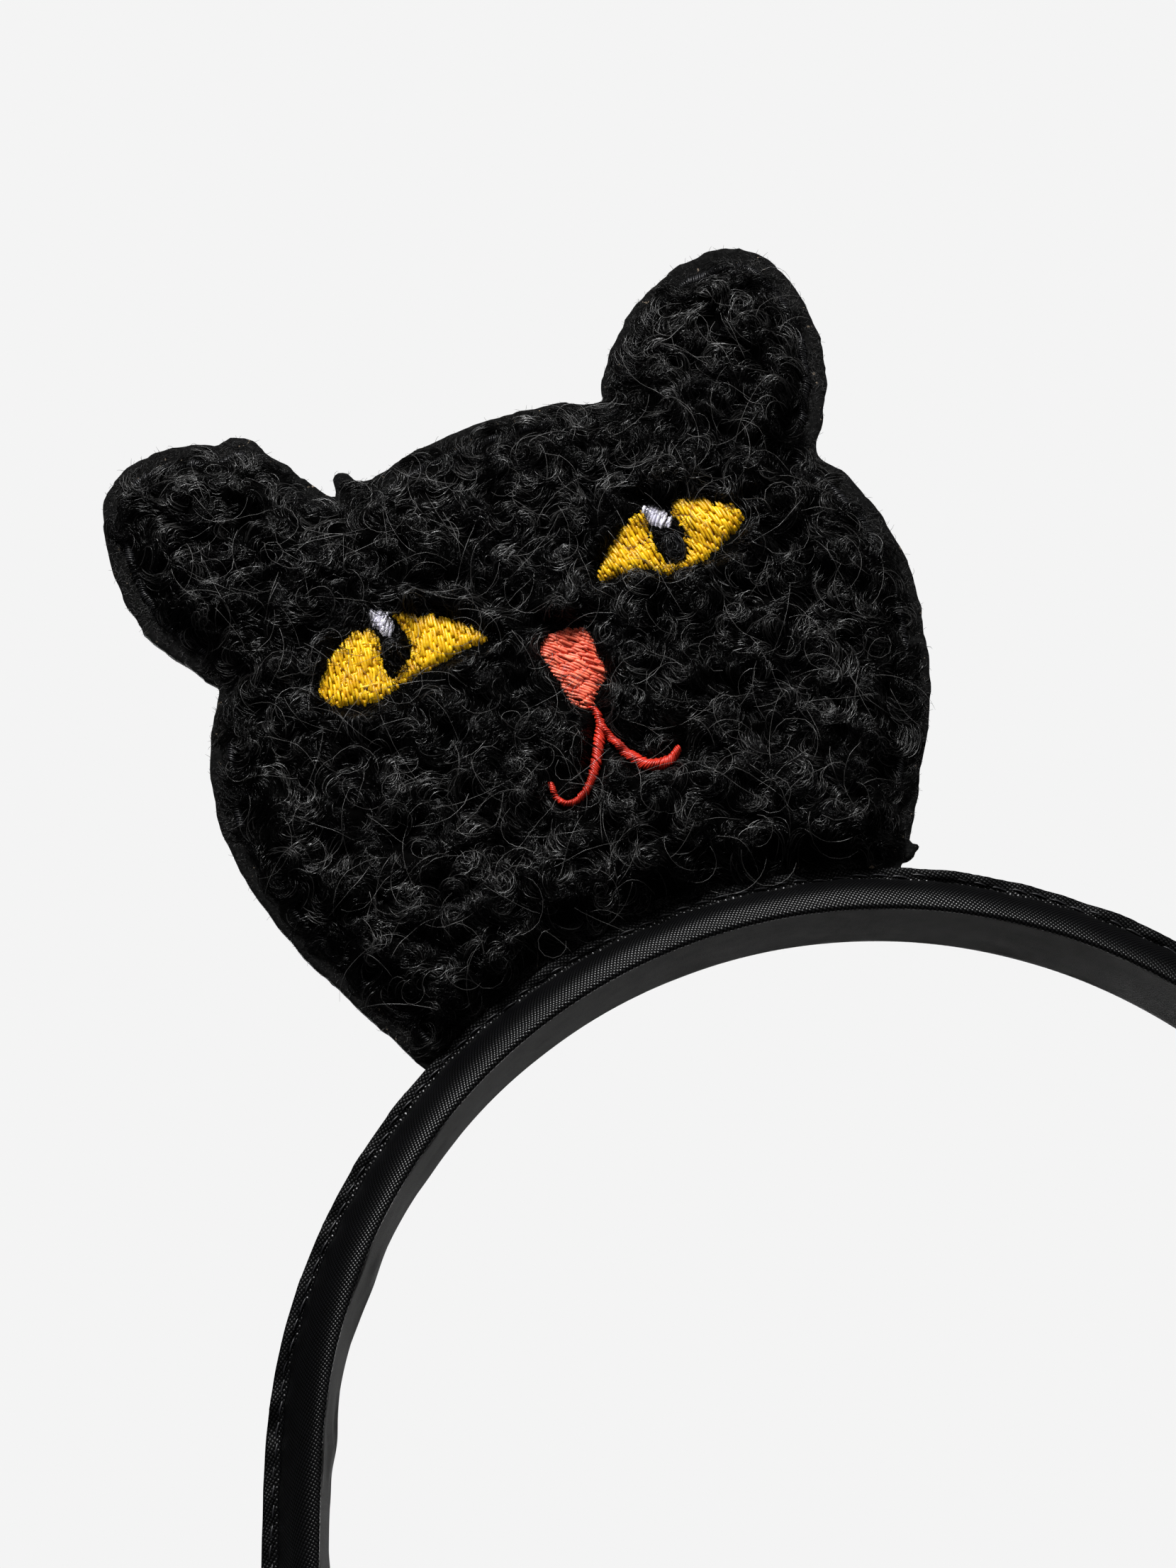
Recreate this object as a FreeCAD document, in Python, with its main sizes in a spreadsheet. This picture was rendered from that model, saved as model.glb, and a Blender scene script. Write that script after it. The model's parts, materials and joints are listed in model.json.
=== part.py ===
import FreeCAD, Part
import math
import os

import Sketcher
from FreeCAD import Placement, Rotation, Vector

# Headband with one flat plush cat head sewn upright into its outer seam.
# Millimetres. The origin is the centre of the band's round crown, +Z up as it is worn,
# and -Y is the front. The band's crown is a half circle; its legs run down and curve in.

SIZES = {
    # band
    "head_radius": 62.0,          # inner face of the crown, against the wearer's head
    "leg_straight": 25.0,         # straight run below the crown
    "leg_bend_radius": 150.0,     # gentle inward curve of the legs' lower ends
    "leg_bend_length": 34.0,      # length of that curve
    "cover_width": 16.0,
    "cloth": 0.4,                 # thickness of one layer of satin
    "edge_below_core": 0.35,      # top of the band's upright edge below the strip's top
    "edge_round": 0.4,            # size of the small bevels along the inner face's edges
    "shoulder_drop": 0.9,         # bevel from the upright edge to the slope
    "seam_rise": 5.2,             # foot of the seam flange above the inner face
    "flange_height": 1.6,
    "flange_gap": 0.6,            # space between the flange's two layers
    "core_thickness": 1.5,
    "core_clearance": 0.25,       # glue and slack between the inner face's cloth and the strip
    "core_side_clearance": 0.7,   # room for the gathered cloth beside the strip
    "padding_side_inset": 0.6,    # padding's edge inside the strip's
    "padding_top_width": 1.2,
    "padding_clearance": 0.4,     # padding's top below the cover
    "layer_gap": 0.1,
    "thread": 0.28,
    "thread_rise": 0.35,          # seam thread above the foot of the flange
    "tip_length": 1.6,
    "tip_proud": 0.3,             # tip fold beyond the cover, all round
    # cat head: outline
    "head_lean": 22.9,            # degrees from the top of the crown, towards -X
    "face_offset": 2.2,           # face's own middle beside the middle of its seam
    "cheek_half_width": 42.5,
    "cheek_height": 27.0,         # widest level above the seam
    "crown_rise": 36.0,           # top of the head above that level
    "chin_half_width": 30.0,      # half of the sewn edge
    "ear_half_length": 15.4,
    "ear_half_width": 13.4,
    "ear_spread": 31.2,
    "ear_height": 59.2,
    "ear_splay": 22.0,            # degrees outward
    "hinge_gap": 0.5,             # free cloth between the flange and the felt
    "pile_lift": 1.2,             # pile and wadding stop this much higher than the felt
    "tab_clearance": 0.05,
    # cat head: layers
    "felt_thickness": 1.1,
    "felt_front": 0.5,            # felt's front face ahead of the seam plane
    "margin": 3.4,                # bare felt outside the pile
    "wadding_thickness": 1.0,
    "wadding_inset": 4.2,
    "stitch_inset": 2.4,
    "stitch_width": 0.9,
    "stitch_thickness": 0.6,
    "pile_thickness": 2.8,
    # cat head: embroidery
    "embroidery": 0.5,            # thickness
    "eye_half_width": 10.0,
    "eye_half_height": 4.4,
    "eye_spread": 16.6,
    "eye_height": 39.2,
    "pupil_half_width": 1.2,
    "pupil_half_height": 3.2,
    "glint_half_width": 0.7,
    "glint_half_height": 1.9,
    "glint_shift": 1.3,
    "glint_lift": 2.4,
    "thread_gap": 0.15,
    "nose_half_width": 3.0,
    "nose_half_height": 5.0,
    "nose_offset": 1.3,
    "nose_height": 29.0,
    "mouth_line": 1.0,
    "mouth_fork_height": 21.4,
    "mouth_hook_radius": 2.3,
    "mouth_hook_height": 16.4,
    "mouth_hook_spread": 4.6,
}

doc = FreeCAD.newDocument("CatHeadband")
sheet = doc.addObject("Spreadsheet::Sheet", "Sizes")
for row, (alias, number) in enumerate(SIZES.items(), start=1):
    sheet.set(f"A{row}", alias)
    sheet.set(f"B{row}", str(number))
    sheet.setAlias(f"B{row}", alias)
doc.recompute()

SUBPARTS = []


def size(alias):
    """A driving size's present value."""
    return float(sheet.get(alias))


def cell(alias):
    """The same size as a term of an expression."""
    return f"Sizes.{alias}"


class Span:
    """A sum of driving sizes, with a plain length if there is one, as a value and as an
    expression."""

    def __init__(self, *terms, plain=0.0):
        pairs = [(1.0, term) if isinstance(term, str) else term for term in terms]
        self.value = plain + sum(factor * size(alias) for factor, alias in pairs)
        self.expression = " + ".join(
            [str(plain)] + [f"({factor}) * {cell(alias)}" for factor, alias in pairs])


def sub_part(shape_object, label):
    shape_object.Label = label
    SUBPARTS.append(shape_object)
    return shape_object


# ---------------------------------------------------------------- band: swept pieces

HALF_COVER = (0.5, "cover_width")
HALF_FLANGE_GAP = (0.5, "flange_gap")
HALF_CORE = (HALF_COVER, (-1, "cloth"), (-1, "core_side_clearance"))
CORE_TOP = ("head_radius", "cloth", "core_clearance", "core_thickness")
EDGE_TOP = (*CORE_TOP, (-1, "edge_below_core"))
PATH_RADIUS = Span(*EDGE_TOP)


def origin_plane(body, role):
    return next(plane for plane in body.Origin.OriginFeatures if plane.Role == role)


def flat_sketch(body, name, role):
    sketch = body.newObject("Sketcher::SketchObject", name)
    sketch.AttachmentSupport = [(origin_plane(body, role), "")]
    sketch.MapMode = "FlatFace"
    return sketch


def dimension(sketch, kind, references, span):
    index = sketch.addConstraint(Sketcher.Constraint(kind, *references, span.value))
    sketch.setExpression(f"Constraints[{index}]", span.expression)


def pin_vertex(sketch, line, side, breadth, height):
    """Dimension a line's first point from the origin: side is +1 or -1 across the band."""
    across = (-1, 1, line, 1) if side > 0 else (line, 1, -1, 1)
    dimension(sketch, "DistanceX", across, breadth)
    dimension(sketch, "DistanceY", (-1, 1, line, 1), height)


def section_sketch(body, outline):
    """A closed polygon of (side, breadth, height) corners on the plane across the crown."""
    sketch = flat_sketch(body, "Section", "YZ_Plane")
    corners = [Vector(side * breadth.value, height.value, 0) for side, breadth, height in outline]
    count = len(corners)
    for index, corner in enumerate(corners):
        sketch.addGeometry(Part.LineSegment(corner, corners[(index + 1) % count]), False)
    for index in range(count):
        sketch.addConstraint(Sketcher.Constraint("Coincident", index, 2, (index + 1) % count, 1))
    for index, (side, breadth, height) in enumerate(outline):
        pin_vertex(sketch, index, side, breadth, height)
    return sketch


def path_sketch(body):
    """Half of the band's line: a quarter circle, a straight leg and its inward curve."""
    sketch = flat_sketch(body, "HalfPath", "XZ_Plane")
    radius = PATH_RADIUS.value
    straight = size("leg_straight")
    bend = size("leg_bend_radius")
    turn = size("leg_bend_length") / bend
    bend_centre = Vector(radius - bend, -straight, 0)
    quarter = Part.ArcOfCircle(Part.Circle(Vector(), Vector(0, 0, 1), radius), 0, math.pi / 2)
    leg = Part.LineSegment(Vector(radius, 0, 0), Vector(radius, -straight, 0))
    curve = Part.ArcOfCircle(Part.Circle(bend_centre, Vector(0, 0, 1), bend), -turn, 0)
    for edge in (quarter, leg, curve):
        sketch.addGeometry(edge, False)
    sketch.addConstraint(Sketcher.Constraint("Coincident", 0, 3, -1, 1))
    sketch.addConstraint(Sketcher.Constraint("PointOnObject", 0, 2, -2))
    sketch.addConstraint(Sketcher.Constraint("Coincident", 0, 1, 1, 1))
    sketch.addConstraint(Sketcher.Constraint("PointOnObject", 1, 1, -1))
    sketch.addConstraint(Sketcher.Constraint("Vertical", 1))
    sketch.addConstraint(Sketcher.Constraint("Coincident", 1, 2, 2, 2))
    sketch.addConstraint(Sketcher.Constraint("Horizontal", 2, 3, 1, 2))
    dimension(sketch, "Radius", (0,), PATH_RADIUS)
    dimension(sketch, "DistanceY", (1, 2, 1, 1), Span("leg_straight"))
    dimension(sketch, "Radius", (2,), Span("leg_bend_radius"))
    drop = sketch.addConstraint(
        Sketcher.Constraint("DistanceY", 2, 1, 2, 2, bend * math.sin(turn)))
    sketch.setExpression(
        f"Constraints[{drop}]",
        f"{cell('leg_bend_radius')} * sin({cell('leg_bend_length')} / {cell('leg_bend_radius')}"
        " * 1 rad)")
    return sketch


def band_piece(label, outline):
    """One layer of the band: its section swept down one leg and mirrored to the other."""
    body = doc.addObject("PartDesign::Body", label)
    section = section_sketch(body, outline)
    path = path_sketch(body)
    doc.recompute()
    pipe = body.newObject("PartDesign::AdditivePipe", "Pipe")
    pipe.Profile = section
    pipe.Spine = (path, ["Edge1", "Edge2", "Edge3"])
    doc.recompute()
    mirror = body.newObject("PartDesign::Mirrored", "OtherLeg")
    mirror.Originals = [pipe]
    mirror.MirrorPlane = (origin_plane(body, "YZ_Plane"), [""])
    body.Tip = mirror
    doc.recompute()
    return sub_part(body, label)


def both_sides(half_outline):
    """Corners of a symmetric section, from the half on the +Y side."""
    front = [(-1, breadth, height) for breadth, height in reversed(half_outline)]
    return [(1, breadth, height) for breadth, height in half_outline] + front


def cover_outline():
    """A tube round the strip, open at its top into the slot between the flange's layers."""
    ply_outside = Span(HALF_FLANGE_GAP, "cloth")
    tip = Span("head_radius", "seam_rise", "flange_height")
    inside_edge = Span(HALF_COVER, (-1, "cloth"))
    return both_sides([
        (Span(HALF_FLANGE_GAP), tip),
        (ply_outside, tip),
        (ply_outside, Span("head_radius", "seam_rise")),
        (Span(HALF_COVER, (-1, "shoulder_drop")), Span(*EDGE_TOP, "shoulder_drop")),
        (Span(HALF_COVER), Span(*EDGE_TOP)),
        (Span(HALF_COVER), Span("head_radius", "edge_round")),
        (Span(HALF_COVER, (-1, "edge_round")), Span("head_radius")),
    ]) + list(reversed(both_sides([
        (Span(HALF_FLANGE_GAP), Span("head_radius", "seam_rise")),
        (Span(HALF_COVER, (-1, "shoulder_drop"), (-1, "cloth")),
         Span(*EDGE_TOP, "shoulder_drop", (-0.5, "cloth"))),
        (inside_edge, Span(*EDGE_TOP, (-0.5, "cloth"))),
        (inside_edge, Span("head_radius", "cloth")),
    ])))


def rectangle_outline(width, low, high):
    return both_sides([(width, high), (width, low)])


def make_band():
    core_low = Span("head_radius", "cloth", "core_clearance")
    band_piece("satin_cover", cover_outline())
    band_piece("core_strip", rectangle_outline(Span(*HALF_CORE), core_low, Span(*CORE_TOP)))
    padding_foot = Span(*CORE_TOP, "layer_gap")
    padding_top = Span("head_radius", "seam_rise", (-1, "padding_clearance"), (-1, "cloth"))
    band_piece("padding_strip", both_sides([
        (Span((0.5, "padding_top_width")), padding_top),
        (Span(*HALF_CORE, (-1, "padding_side_inset")), padding_foot),
    ]))
    for side, label in ((-1, "seam_thread_front"), (1, "seam_thread_back")):
        near = Span(HALF_FLANGE_GAP, "cloth", (0.2, "layer_gap"))
        far = Span(HALF_FLANGE_GAP, "cloth", (0.2, "layer_gap"), "thread")
        low = Span("head_radius", "seam_rise", "thread_rise")
        high = Span("head_radius", "seam_rise", "thread_rise", "thread")
        band_piece(label, [(side, near, low), (side, far, low), (side, far, high), (side, near, high)])


# ---------------------------------------------------------------- solids from primitives

TO_FRONT = Rotation(Vector(1, 0, 0), 90)   # a primitive's height then runs towards -Y


def primitive(kind, placement, **expressions):
    solid = doc.addObject(f"Part::{kind}", kind)
    solid.Placement = placement
    for name, expression in expressions.items():
        solid.setExpression(name, expression)
    return solid


def disc(across, back, up, radius, thickness):
    """A round plate in the XZ plane, from its back face towards the front."""
    return primitive("Cylinder", Placement(Vector(across, back, up), TO_FRONT),
                     Radius=radius, Height=thickness)


def block(low, width, thickness, tall):
    """A plate from a low corner (across, back, up), towards the front."""
    return primitive("Box", Placement(Vector(*low), TO_FRONT),
                     Length=width, Width=tall, Height=thickness)


def oval(across, back, up, half_width, half_height, thickness, lean=0.0):
    """An elliptic plate; lean turns its top towards +X."""
    wide = half_width.value >= half_height.value
    long_half, short_half = (half_width, half_height) if wide else (half_height, half_width)
    quarter = 0 if wide else 90
    turn = Rotation(Vector(0, 1, 0), lean) * TO_FRONT * Rotation(Vector(0, 0, 1), quarter)
    rim = primitive("Ellipse", Placement(Vector(across, back, up), turn),
                    MajorRadius=long_half.expression, MinorRadius=short_half.expression)
    plate = doc.addObject("Part::Extrusion", "Oval")
    plate.Base = rim
    plate.DirMode = "Custom"
    plate.Dir = Vector(0, -1, 0)
    plate.Solid = True
    plate.setExpression("LengthFwd", thickness)
    return plate


def joined(kind, *shapes):
    result = doc.addObject(f"Part::Multi{kind}", kind)
    result.Shapes = list(shapes)
    return result


def cut(base, *tools):
    result = base
    for tool in tools:
        minus = doc.addObject("Part::Cut", "Cut")
        minus.Base = result
        minus.Tool = tool
        result = minus
    return result


# ---------------------------------------------------------------- band: tips and head's tab

def tip_fold(side, label):
    """The cover's end, folded over the end of the strip and glued."""
    bend = size("leg_bend_radius")
    turn = size("leg_bend_length") / bend
    end = Vector(
        side * (PATH_RADIUS.value - bend * (1 - math.cos(turn))), 0,
        -size("leg_straight") - bend * math.sin(turn))
    across = size("cover_width") / 2 + size("tip_proud")
    inner = PATH_RADIUS.value - size("head_radius") + size("tip_proud")
    rise = size("seam_rise") + size("flange_height") + 2 * size("tip_proud")
    # Local frame: X out of the band, Z back along the leg.
    lean = Rotation(Vector(0, 1, 0), side * math.degrees(turn))
    fold = primitive(
        "Box", Placement(),
        Length=f"{cell('seam_rise')} + {cell('flange_height')} + 2 * {cell('tip_proud')}",
        Width=f"{cell('cover_width')} + 2 * {cell('tip_proud')}",
        Height=cell("tip_length"))
    low_x = -inner if side > 0 else inner - rise
    corner = Vector(low_x, -across, -size("tip_length") - size("layer_gap"))
    rounded = doc.addObject("Part::Fillet", "RoundedTip")
    rounded.Base = fold
    radius = size("tip_length") / 3
    rounded.Edges = [(number, radius, radius) for number in range(1, 13)]
    rounded.Placement = Placement(end, lean) * Placement(corner, Rotation())
    return sub_part(rounded, label)


def seam_tab():
    """The felt's sewn edge, held between the flange's two layers."""
    spread = 2 * math.degrees(math.asin(size("chin_half_width") / flange_radius()))
    half_thickness = size("flange_gap") / 2 - size("tab_clearance")
    start = 90 + size("head_lean") - spread / 2
    thickness = f"{cell('flange_gap')} - 2 * {cell('tab_clearance')}"
    turned = Placement(Vector(0, half_thickness, 0), TO_FRONT * Rotation(Vector(0, 0, 1), start))
    outer = primitive("Cylinder", turned, Height=thickness, Angle=str(spread),
                      Radius=f"{cell('head_radius')} + {cell('seam_rise')} + {cell('flange_height')}")
    inner = disc(0, half_thickness, 0, f"{cell('head_radius')} + {cell('seam_rise')}", thickness)
    return sub_part(cut(outer, inner), "head_seam_tab")


# ---------------------------------------------------------------- cat head

def flange_radius():
    return size("head_radius") + size("seam_rise") + size("flange_height")


def stand_on_seam(shape_object, label):
    """Lift a piece from the head's own frame (Z up from the seam's middle) to the band."""
    lean = -size("head_lean")
    reach = flange_radius()
    foot = Vector(reach * math.sin(math.radians(lean)), 0, reach * math.cos(math.radians(lean)))
    seam = Placement(foot, Rotation(Vector(0, 1, 0), lean))
    shape_object.Placement = seam * shape_object.Placement
    return sub_part(shape_object, label)


def head_plate(insets, back, thickness, lifts=()):
    """The cat head's outline, drawn in by the named insets: an oval crown, two round ears,
    cheeks that narrow on a taller oval to the chin, and a bottom edge that follows the band,
    clear of it by the hinge gap and the named lifts."""
    offset = size("face_offset")
    cheek, chin = size("cheek_half_width"), size("chin_half_width")
    level = size("cheek_height")
    chin_drop = flange_radius() - math.sqrt(flange_radius() ** 2 - chin ** 2)
    jaw_drop = (level + chin_drop) / math.sqrt(1 - (chin / cheek) ** 2)
    inward = [(-1, alias) for alias in insets]

    crown = oval(offset, back, level, Span("cheek_half_width", *inward),
                 Span("crown_rise", *inward), thickness)
    width = f"4 * {cell('cheek_half_width')}"
    above = block((offset - 2 * cheek, back, level), width, thickness,
                  f"2 * {cell('crown_rise')}")
    jaw = oval(offset, back, level, Span("cheek_half_width", *inward),
               Span(*inward, plain=jaw_drop), thickness)
    below = block((offset - 2 * cheek, back, level - jaw_drop), width, thickness, str(jaw_drop))
    ears = [
        oval(offset + side * size("ear_spread"), back, size("ear_height"),
             Span("ear_half_width", *inward), Span("ear_half_length", *inward), thickness,
             side * size("ear_splay"))
        for side in (-1, 1)
    ]
    whole = joined("Fuse", joined("Common", crown, above),
                   joined("Common", jaw, below), *ears)
    clear = ("head_radius", "seam_rise", "flange_height", "hinge_gap", *lifts)
    band = disc(0, back, -flange_radius(), " + ".join(cell(alias) for alias in clear), thickness)
    return cut(whole, band)


def make_head_layers():
    felt_back = size("felt_thickness") - size("felt_front")
    stand_on_seam(head_plate((), felt_back, cell("felt_thickness")), "felt_backing")
    wadding_back = -size("felt_front") - size("layer_gap")
    lift = ("pile_lift",)
    stand_on_seam(head_plate(("wadding_inset",), wadding_back, cell("wadding_thickness"), lift),
                  "head_wadding")
    stitch = cell("stitch_thickness")
    stitch_outside = head_plate(("stitch_inset",), wadding_back, stitch)
    stitch_inside = head_plate(("stitch_inset", "stitch_width"), wadding_back, stitch)
    stand_on_seam(cut(stitch_outside, stitch_inside), "border_stitching")
    pile_back = wadding_back - size("wadding_thickness") - size("layer_gap")
    stand_on_seam(head_plate(("margin",), pile_back, cell("pile_thickness"), lift), "pile_face")
    return pile_back - size("pile_thickness") - size("layer_gap")


def eye(side, back):
    """An almond of yellow thread with a dark upright pupil and a pale glint beside its top."""
    across = size("face_offset") + side * size("eye_spread")
    up = size("eye_height")
    half_width, half_height = size("eye_half_width"), size("eye_half_height")
    lid_radius = (half_width ** 2 + half_height ** 2) / (2 * half_height)
    lid = f"({cell('eye_half_width')} ^ 2 + {cell('eye_half_height')} ^ 2)" \
          f" / (2 * {cell('eye_half_height')})"
    thickness = cell("embroidery")
    shift = lid_radius - half_height
    gap = "thread_gap"
    glint_place = (across - size("glint_shift"), back, up + size("glint_lift"))

    def glint(extra):
        return oval(*glint_place, Span("glint_half_width", extra), Span("glint_half_height", extra),
                    thickness)

    def pupil(extra):
        return oval(across, back, up, Span("pupil_half_width", extra),
                    Span("pupil_half_height", extra), thickness)

    name = "left" if side < 0 else "right"
    exact, grown = (0, gap), (1, gap)
    almond = joined("Common", disc(across, back, up - shift, lid, thickness),
                    disc(across, back, up + shift, lid, thickness))
    stand_on_seam(cut(almond, pupil(grown), glint(grown)), f"eye_{name}")
    stand_on_seam(cut(pupil(exact), glint(grown)), f"pupil_{name}")
    stand_on_seam(glint(exact), f"glint_{name}")


def nose_and_mouth(back):
    thickness = cell("embroidery")
    middle = size("face_offset") + size("nose_offset")
    half_line = size("mouth_line") / 2
    stand_on_seam(oval(middle, back, size("nose_height"), Span("nose_half_width"),
                       Span("nose_half_height"), thickness), "nose_embroidery")
    nose_foot = size("nose_height") - size("nose_half_height")
    fork = size("mouth_fork_height")
    gap = size("thread_gap")
    stem_tall = nose_foot - fork - 2 * gap
    stand_on_seam(block((middle - half_line, back, fork + gap), cell("mouth_line"), thickness,
                        str(stem_tall)), "mouth_stem")
    hook_up = size("mouth_hook_height")
    radius = size("mouth_hook_radius")
    for side, name in ((-1, "left"), (1, "right")):
        hook_across = middle + side * size("mouth_hook_spread")
        ring = cut(disc(hook_across, back, hook_up, cell("mouth_hook_radius"), thickness),
                   disc(hook_across, back, hook_up,
                        f"{cell('mouth_hook_radius')} - {cell('mouth_line')}", thickness))
        upper = block((hook_across - radius, back, hook_up),
                      f"2 * {cell('mouth_hook_radius')}", thickness, cell("mouth_hook_radius"))
        # The upper bar runs from the fork to the inner side of the hook.
        foot_across = side * (size("mouth_hook_spread") - radius + half_line)
        start_across = side * (half_line + gap)
        rise = fork - hook_up
        lean = math.degrees(math.atan2(start_across - foot_across, rise))
        tall = math.hypot(start_across - foot_across, rise)
        bar = primitive(
            "Box",
            Placement(Vector(middle + foot_across, back, hook_up),
                      Rotation(Vector(0, 1, 0), lean) * TO_FRONT)
            * Placement(Vector(-half_line, 0, 0), Rotation()),
            Length=cell("mouth_line"), Width=str(tall), Height=thickness)
        stand_on_seam(joined("Fuse", cut(ring, upper), bar), f"mouth_{name}")


make_band()
tip_fold(-1, "tip_fold_left")
tip_fold(1, "tip_fold_right")
seam_tab()
embroidery_back = make_head_layers()
for eye_side in (-1, 1):
    eye(eye_side, embroidery_back)
nose_and_mouth(embroidery_back)
doc.recompute()

for item in doc.Objects:
    if "Invalid" in item.State or "Error" in item.State:
        raise RuntimeError(f"{item.Label} ({item.Name}) failed: {item.State}")
for item in SUBPARTS:
    if item.Shape.isNull() or not item.Shape.isValid() or item.Shape.Volume <= 0:
        raise RuntimeError(f"{item.Label} has no valid solid")

os.makedirs("parts", exist_ok=True)
for item in SUBPARTS:
    item.Shape.exportStep(f"parts/{item.Label}.step")
    box = item.Shape.BoundBox
    print(f"{item.Label:20s} solids {len(item.Shape.Solids)} volume {item.Shape.Volume:9.1f}"
          f"  x {box.XMin:7.2f} {box.XMax:7.2f}  y {box.YMin:6.2f} {box.YMax:6.2f}"
          f"  z {box.ZMin:7.2f} {box.ZMax:7.2f}")
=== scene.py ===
import json
import math

import bpy
import numpy as np
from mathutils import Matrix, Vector
from mathutils.geometry import delaunay_2d_cdt


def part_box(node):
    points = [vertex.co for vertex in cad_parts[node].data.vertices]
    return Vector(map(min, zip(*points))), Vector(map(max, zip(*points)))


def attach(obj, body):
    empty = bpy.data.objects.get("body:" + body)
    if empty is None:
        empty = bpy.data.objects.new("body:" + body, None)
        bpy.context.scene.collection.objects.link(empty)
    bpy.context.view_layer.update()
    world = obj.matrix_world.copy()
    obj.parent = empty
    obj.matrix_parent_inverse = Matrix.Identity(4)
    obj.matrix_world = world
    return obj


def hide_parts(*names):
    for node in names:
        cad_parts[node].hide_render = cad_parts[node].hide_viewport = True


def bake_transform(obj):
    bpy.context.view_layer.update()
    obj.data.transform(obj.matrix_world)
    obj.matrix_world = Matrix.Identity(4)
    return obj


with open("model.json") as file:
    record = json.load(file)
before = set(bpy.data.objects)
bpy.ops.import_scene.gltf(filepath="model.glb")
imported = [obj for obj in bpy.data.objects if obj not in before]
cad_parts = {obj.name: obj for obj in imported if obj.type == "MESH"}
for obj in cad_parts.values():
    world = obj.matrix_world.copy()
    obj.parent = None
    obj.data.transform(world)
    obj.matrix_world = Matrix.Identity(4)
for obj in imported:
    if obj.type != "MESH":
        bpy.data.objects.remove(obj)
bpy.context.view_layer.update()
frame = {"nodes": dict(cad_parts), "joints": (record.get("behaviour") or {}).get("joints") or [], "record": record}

# Lengths below are in millimetres until a mesh is made.
MM = 0.001

# ---------------------------------------------------------------- sizes from the frame

COVER_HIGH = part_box("satin_cover")[1]
HEAD_R = frame["record"]["mounts"][0]["dims"]["r_mm"]
FLANGE_R = COVER_HIGH.z / MM                   # tip of the seam flange
HALF_BAND = COVER_HIGH.y / MM
TIP = frame["joints"][0]
HINGE = np.array(TIP["pos_m"]) / MM
ALONG = np.array(TIP["axis"])                  # the head's own rightward direction
UP = np.array([-ALONG[2], 0.0, ALONG[0]])      # and its upward one
BACKWARD = np.array([0.0, 1.0, 0.0])           # from the face towards the felt
FELT_FRONT, FELT_BACK = (corner.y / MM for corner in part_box("felt_backing"))

# the band's line below the round crown
LEG_STRAIGHT = 25.0
LEG_BEND = 34.0
LEG_BEND_R = 148.2
SEAM_RISE = 5.2
FLANGE = FLANGE_R - HEAD_R - SEAM_RISE


# ---------------------------------------------------------------- small maths

def stream(seed):
    return np.random.default_rng(seed)


def ripple(points, size, seed, count=14):
    """Smooth noise of about -1 to 1 over points (N, D), with features of the given size."""
    rng = stream(seed)
    points = np.asarray(points, float)
    way = rng.normal(size=(count, points.shape[1]))
    way *= (rng.uniform(0.6, 1.5, count) / np.linalg.norm(way, axis=1))[:, None]
    waves = np.sin(points @ way.T * (2 * math.pi / size) + rng.uniform(0, 2 * math.pi, count))
    return waves.sum(axis=1) / math.sqrt(count)


def smoothstep(low, high, value):
    t = np.clip((value - low) / (high - low), 0, 1)
    return t * t * (3 - 2 * t)


def spline(points, steps, closed=False):
    """Catmull-Rom through the points, with this many steps a span."""
    points = np.asarray(points, float)
    if closed:
        padded = np.vstack([points[-1], points, points[:2]])
    else:
        padded = np.vstack([2 * points[0] - points[1], points, 2 * points[-1] - points[-2]])
    t = np.linspace(0, 1, steps, endpoint=False)[:, None]
    spans = []
    for a, b, c, d in zip(padded, padded[1:], padded[2:], padded[3:]):
        spans.append(0.5 * (2 * b + (c - a) * t + (2 * a - 5 * b + 4 * c - d) * t ** 2
                            + (3 * b - a - 3 * c + d) * t ** 3))
    line = np.vstack(spans)
    return line if closed else np.vstack([line, points[-1]])


def resample(line, step, closed=False):
    """The same line with points this far apart."""
    line = np.asarray(line, float)
    if closed:
        line = np.vstack([line, line[0]])
    reach = np.concatenate([[0], np.cumsum(np.linalg.norm(np.diff(line, axis=0), axis=1))])
    count = max(2, int(round(reach[-1] / step)))
    at = np.linspace(0, reach[-1], count + 1)
    even = np.column_stack([np.interp(at, reach, line[:, k]) for k in range(line.shape[1])])
    return even[:-1] if closed else even


def inside_depth(points, loop):
    """Distance from each point to a closed line, positive inside it."""
    points = np.asarray(points, float)
    start, end = loop, np.roll(loop, -1, axis=0)
    way = end - start
    depth = np.full(len(points), 1e9)
    crossings = np.zeros(len(points), int)
    for a, b, d in zip(start, end, way):
        offset = points - a
        along = np.clip(offset @ d / max(d @ d, 1e-12), 0, 1)
        depth = np.minimum(depth, np.linalg.norm(offset - along[:, None] * d, axis=1))
        straddles = (a[1] > points[:, 1]) != (b[1] > points[:, 1])
        if a[1] != b[1]:
            crossing = a[0] + (points[:, 1] - a[1]) * d[0] / d[1]
            crossings += straddles & (points[:, 0] < crossing)
    return np.where(crossings % 2 == 1, depth, -depth)


def scattered(loop, spacing, seed, inset=0.0):
    """Jittered points of a triangular lattice that lie inside a loop by at least inset."""
    rng = stream(seed)
    low, high = loop.min(axis=0), loop.max(axis=0)
    rows = np.arange(low[1], high[1], spacing * 0.866)
    found = []
    for index, row in enumerate(rows):
        across = np.arange(low[0] + (index % 2) * spacing / 2, high[0], spacing)
        found.append(np.column_stack([across, np.full(len(across), row)]))
    points = np.vstack(found)
    points += rng.uniform(-0.35, 0.35, points.shape) * spacing
    return points[inside_depth(points, loop) > inset]


# ---------------------------------------------------------------- mesh making

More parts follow.
